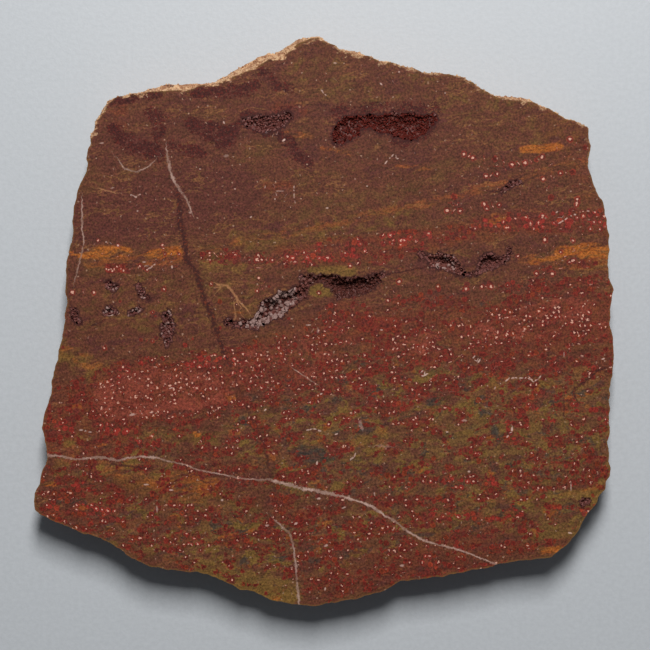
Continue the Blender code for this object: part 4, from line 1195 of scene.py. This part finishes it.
class StoneLook(bpy.types.PropertyGroup):
    """Colours of the rock and the size of its round grains."""

    brown: pigment("Brown", "Warm body colour of the rock", (0.124, 0.039, 0.021))
    umber: pigment("Umber", "Darker body colour", (0.102, 0.029, 0.022))
    tan: pigment("Tan", "Lighter, yellower body colour", (0.128, 0.053, 0.021))
    khaki: pigment("Khaki", "Ground of the mottled lower half", (0.158, 0.07, 0.032))
    wisp: pigment("Wisp", "Tan threads along the bands", (0.29, 0.13, 0.04))
    plum: pigment("Plum", "Purple-brown bands of the upper left", (0.106, 0.029, 0.021))
    olive: pigment("Olive", "Yellow-green patches", (0.182, 0.102, 0.023))
    brick: pigment("Brick", "Brick-red ground around the grains", (0.175, 0.034, 0.016))
    rose: pigment("Rose", "Pinkish ground of the densest patches", (0.248, 0.051, 0.031))
    ochre: pigment("Ochre", "Orange streaks", (0.33, 0.082, 0.013))
    amber: pigment("Amber", "Yellow lights in the orange streaks", (0.48, 0.18, 0.03))
    soot: pigment("Soot", "Greenish-black blotches", (0.04, 0.036, 0.03))
    hematite: pigment("Hematite", "Dark maroon patches", (0.056, 0.012, 0.011))
    grain_red: pigment("Grain red", "Brighter grains and rims", (0.22, 0.026, 0.016))
    scarlet: pigment("Scarlet", "Brightest grains, in the red streaks", (0.29, 0.029, 0.02))
    grain_dark: pigment("Grain dark", "Darker grains", (0.108, 0.015, 0.01))
    heart: pigment("Grain heart", "Pale pinkish heart of a grain", (0.79, 0.415, 0.3))
    seam: pigment("Dark seam", "Dark veins and cracks", (0.05, 0.014, 0.012))
    worn: pigment("Worn edge", "Yellowish edge of the sawn face", (0.25, 0.135, 0.038))
    thread: pigment("Orange thread", "Thin orange veinlets", (0.5, 0.23, 0.1))
    vein: pigment("Pale vein", "Pinkish-grey quartz veins", (0.36, 0.22, 0.17))
    speck: pigment("Speck", "Tiny pale specks", (0.48, 0.29, 0.2))
    # Colour of the pale flecks and of the painted glints of light among them; it also brightens stretches of
    # the pale veins.
    fleck_and_glint: pigment("Fleck", "Larger pale flecks", (0.64, 0.42, 0.35))
    rind: pigment("Rind", "Pale weathered rind", (0.72, 0.45, 0.25))
    rind_shade: pigment("Rind shade", "Darker spots of the rind", (0.33, 0.14, 0.065))
    dust: pigment("Broken dust", "Pale dust on broken faces", (0.19, 0.095, 0.04))
    hollow_dark: pigment("Hollow dark", "Deepest colour in the hollows", (0.082, 0.021, 0.017))
    hollow_light: pigment("Hollow light", "Lighter colour in the hollows", (0.2, 0.066, 0.052))
    stained: pigment("Stained quartz", "Iron-stained crystals", (0.175, 0.056, 0.046))
    clear: pigment("Clear quartz", "Grey clear crystals", (0.45, 0.275, 0.24))
    grain_spacing: length("Grain spacing", "Distance between round grains", 1.15 * MM)
    grain_radius: length("Grain radius", "Radius of a large round grain", 0.58 * MM)
    satin: FloatProperty(
        name="Satin", description="Roughness of the sawn face", default=0.55, min=0.0, max=1.0,
        subtype="FACTOR",
    )


class CrustLook(bpy.types.PropertyGroup):
    """Sizes of the crystals in the hollows and of the crumbs on the rind."""

    crystal_size: FloatProperty(
        name="Crystal size", description="Scales the length of all crystals", default=1.0
    )
    crystal_seed: IntProperty(name="Crystal seed", description="Changes how the crystals fall", default=11)
    crumb_spacing: length("Crumb spacing", "Distance between crumbs of the rind", 0.42 * MM)
    crumb_largest: length("Largest crumb", "Width of the largest crumbs", 0.75 * MM)


class StageLook(bpy.types.PropertyGroup):
    """Floor, light and camera."""

    floor: pigment("Paper", "Colour of the paper under the slab", (0.575, 0.6, 0.625))
    view_width: length("View width", "Width that the camera sees at the sawn face", 130 * MM)
    camera_height: length("Camera height", "Height of the camera over the floor", 0.45)
    light_power: FloatProperty(name="Light power", description="Power of the window light", default=4.3)
    light_width: length("Light width", "Width of the window light", 0.14)
    light_height: length("Light height", "Height of the window light", 0.3)
    sky: FloatProperty(name="Sky", description="Brightness of the light from all round", default=0.08)


class SLAB_OT_stone(bpy.types.Operator):
    """Builds the stone: the fine mesh of the slab with its stains and veins"""

    bl_idname = "slab.stone"
    bl_label = "Stone"

    def execute(self, context):
        shape, look = context.scene.slab_shape, context.scene.slab_stone
        shell = open_shell(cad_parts["matrix"])
        refine(shell, shape.wall_edge)
        wall = wall_vertices(shell)
        for face in shell.faces:
            face.material_index = BROKEN if face.verts[0] in wall else LINING
            face.smooth = False
        roughen(shell, wall, shape.wall_depth, shape.hollow_depth)
        rims = rim_places(shell, wall)
        close_sawn_face(shell, HIGH.z, shape.front_spacing, SAWN)
        close_sawn_face(shell, LOW.z, shape.back_spacing, SAWN)
        mesh = bpy.data.meshes.new("stone")
        shell.to_mesh(mesh)
        shell.free()
        paint_stains(mesh)
        for name, rim in rims.items():
            keep_field(mesh, name, nearness(vertex_places(mesh)[:, :2] / MM, rim))
        keep_field(mesh, "rind", rind_field(mesh))
        rock = rock_group(look, grains_group(), line_group(), patch_group(), mark_group())
        finishes = [sawn_stone(look, rock), broken_stone(look, rock), hollow_lining(look)]
        stone = new_object("stone", mesh, finishes)
        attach(stone, "root")
        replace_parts(stone, "matrix")
        return {"FINISHED"}


# In millimetres: how high on the slab the rind starts, how soon it is full, and where its thinner right part
# starts; then how full that part is.
RIND_START, RIND_RISE, RIND_PEAK, RIND_RIGHT = 37.0, 6.0, 2.0, 0.62


def rind_field(mesh):
    """How fully the pale rind covers the wall: it starts a little lower towards the sides."""
    x, y, _ = (vertex_places(mesh) / MM).T
    upper = ((y - (RIND_START - 0.1 * abs(x))) / RIND_RISE).clip(0.0, 1.0)
    return upper * np.where(x > RIND_PEAK, RIND_RIGHT, 1.0)


class SLAB_OT_rind(bpy.types.Operator):
    """Sets crumbs of pale rind along the upper broken edge"""

    bl_idname = "slab.rind"
    bl_label = "Rind crumbs"

    def execute(self, context):
        crust = context.scene.slab_crust

        def on_rind(centre, material_index):
            # Crumbs come in clumps, more of them near the front.
            clumps = noise.noise(centre / (5 * MM)) + 0.4 * noise.noise(centre / (1.5 * MM))
            covered = clumps >= 0.75 - 1.3 * centre.z / THICKNESS
            return material_index == BROKEN and centre.y > (RIND_START - 1.0) * MM and covered

        crumbs = grown(
            "rind_crumbs",
            faces_as_mesh("rind_surface", bpy.data.objects["stone"].data, on_rind),
            crumb_tree(),
            Spacing=crust.crumb_spacing, Smallest=0.2 * MM, Largest=crust.crumb_largest, Seed=5, Cover=0.7,
            Material=chalky(context.scene.slab_stone),
        )
        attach(crumbs, "root")
        return {"FINISHED"}


# For each crust: its slot, stain, share of light crystals, how clear and how rough they are, then in
# millimetres their spacing, and the place and reach of the light ones.
DRUSES = {
    "druse_west": ("druse", "hollow_light", 0.75, 0.25, 0.25, 0.5, (-12.0, 3.2, 9.0)),
    "druse_centre": ("druse", "plum", 0.0, 0.2, 0.42, 0.36, (0.5, 5.5, 5.0)),
    "druse_east": ("druse", "hollow_light", 0.4, 0.2, 0.25, 0.36, (24.0, 11.0, 3.0)),
    "druse_far_east": ("druse", "stained", 0.0, 0.2, 0.42, 0.34, (32.0, 12.0, 3.0)),
    "druse_upper": ("dark_druse", "grain_dark", 0.02, 0.05, 0.6, 0.3, (8.0, 39.0, 6.0)),
}
SMALL_HOLLOWS = ("druse", "stained", 0.3, 0.2, 0.3, 0.34, (-36.0, 2.0, 16.0))


def crust(name, surface, tree, made, seed, context):
    """Crystals of one crust, grown on a surface."""
    look, size = context.scene.slab_stone, context.scene.slab_crust.crystal_size
    slot, stain_name, share, clearness, roughness, spacing, gathered = made
    spacing, gathered = spacing * MM, [number * MM for number in gathered]
    finish = quartz(name, getattr(look, stain_name), look.clear, share, clearness, roughness, gathered)
    crystals = grown(
        name, surface, tree, Spacing=spacing, Smallest=1.1 * spacing * size, Largest=2.3 * spacing * size,
        Seed=seed, Material=finish,
    )
    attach(crystals, "root")
    return crystals


class SLAB_OT_druse(bpy.types.Operator):
    """Grows crusts of pointed crystals in the hollows"""

    bl_idname = "slab.druse"
    bl_label = "Crystal crusts"

    def execute(self, context):
        stone = bpy.data.objects["stone"].data
        tree, seed = crystal_tree(), context.scene.slab_crust.crystal_seed
        # The hollow's walls lie this far outside the box of its crust.
        margin = 0.9 * MM
        boxes = {node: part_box(node) for node in DRUSES}

        def held(centre, box):
            return all(box[0][k] - margin < centre[k] < box[1][k] + margin for k in (0, 1))

        for number, (node, made) in enumerate(DRUSES.items()):
            def in_hollow(centre, material_index, box=boxes[node]):
                return material_index == LINING and held(centre, box)

            surface = faces_as_mesh(node + "_surface", stone, in_hollow)
            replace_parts(crust(node + "_crystals", surface, tree, made, seed + number, context), node)

        def in_small_hollow(centre, material_index):
            return material_index == LINING and not any(held(centre, box) for box in boxes.values())

        surface = faces_as_mesh("small_hollow_surface", stone, in_small_hollow)
        crust("small_hollow_crystals", surface, tree, SMALL_HOLLOWS, seed + 9, context)
        return {"FINISHED"}


class SLAB_OT_stage(bpy.types.Operator):
    """Sets the paper floor, the light and the camera"""

    bl_idname = "slab.stage"
    bl_label = "Stage"

    def execute(self, context):
        scene, look = context.scene, context.scene.slab_stage
        mesh = bpy.data.meshes.new("floor")
        # The floor reaches this far each way and lies a hair below the slab.
        half, level = 0.6, LOW.z - 0.01 * MM
        corners = [(-half, -half, level), (half, -half, level), (half, half, level), (-half, half, level)]
        mesh.from_pydata(corners, [], [(0, 1, 2, 3)])
        floor = new_object("floor", mesh, [paper(look)])
        lamp = bpy.data.lights.new("window", "AREA")
        lamp.shape = "RECTANGLE"
        lamp.energy, lamp.size, lamp.size_y = look.light_power, look.light_width, look.light_height
        window = new_object("window", lamp)
        window.location = (0.025, 0.35, 0.58)
        window.rotation_euler = (-window.location).to_track_quat("-Z", "Y").to_euler()
        scene.world = bpy.data.worlds.new("room")
        scene.world.use_nodes = True
        background = scene.world.node_tree.nodes["Background"].inputs
        background["Color"].default_value = (0.85, 0.92, 1.0, 1.0)
        background["Strength"].default_value = look.sky
        view = bpy.data.cameras.new("camera")
        view.sensor_width = 36.0
        view.lens = view.sensor_width * (look.camera_height - HIGH.z) / look.view_width
        view.clip_start, view.clip_end = 0.01, 5.0
        scene.camera = new_object("camera", view)
        scene.camera.location = (0.2 * MM, -1.0 * MM, look.camera_height)
        scene.view_settings.view_transform = "Standard"
        return {"FINISHED"}


class SLAB_PT_sidebar(bpy.types.Panel):
    """Lists the slab's pieces and what can be changed about them"""

    bl_idname = "SLAB_PT_sidebar"
    bl_label = "Sawn slab"
    bl_space_type = "VIEW_3D"
    bl_region_type = "UI"
    bl_category = "Slab"

    def draw(self, context):
        for operator, settings in zip(OPERATORS, SETTINGS):
            box = self.layout.box()
            box.operator(operator.bl_idname)
            group = getattr(context.scene, settings)
            for name in type(group).__annotations__:
                box.prop(group, name)


SETTINGS = {
    "slab_shape": SlabShape, "slab_stone": StoneLook, "slab_crust": CrustLook, "slab_stage": StageLook,
}
OPERATORS = (SLAB_OT_stone, SLAB_OT_rind, SLAB_OT_druse, SLAB_OT_stage)


def register():
    for made in (*SETTINGS.values(), *OPERATORS, SLAB_PT_sidebar):
        bpy.utils.register_class(made)
    for name, group in SETTINGS.items():
        setattr(bpy.types.Scene, name, PointerProperty(type=group))


def unregister():
    for name in SETTINGS:
        delattr(bpy.types.Scene, name)
    for made in reversed((*SETTINGS.values(), *OPERATORS, SLAB_PT_sidebar)):
        bpy.utils.unregister_class(made)


def main():
    """Builds every piece in order."""
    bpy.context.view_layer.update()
    register()
    bpy.ops.slab.stone()
    bpy.ops.slab.rind()
    bpy.ops.slab.druse()
    bpy.ops.slab.stage()


if __name__ == "__main__":
    main()
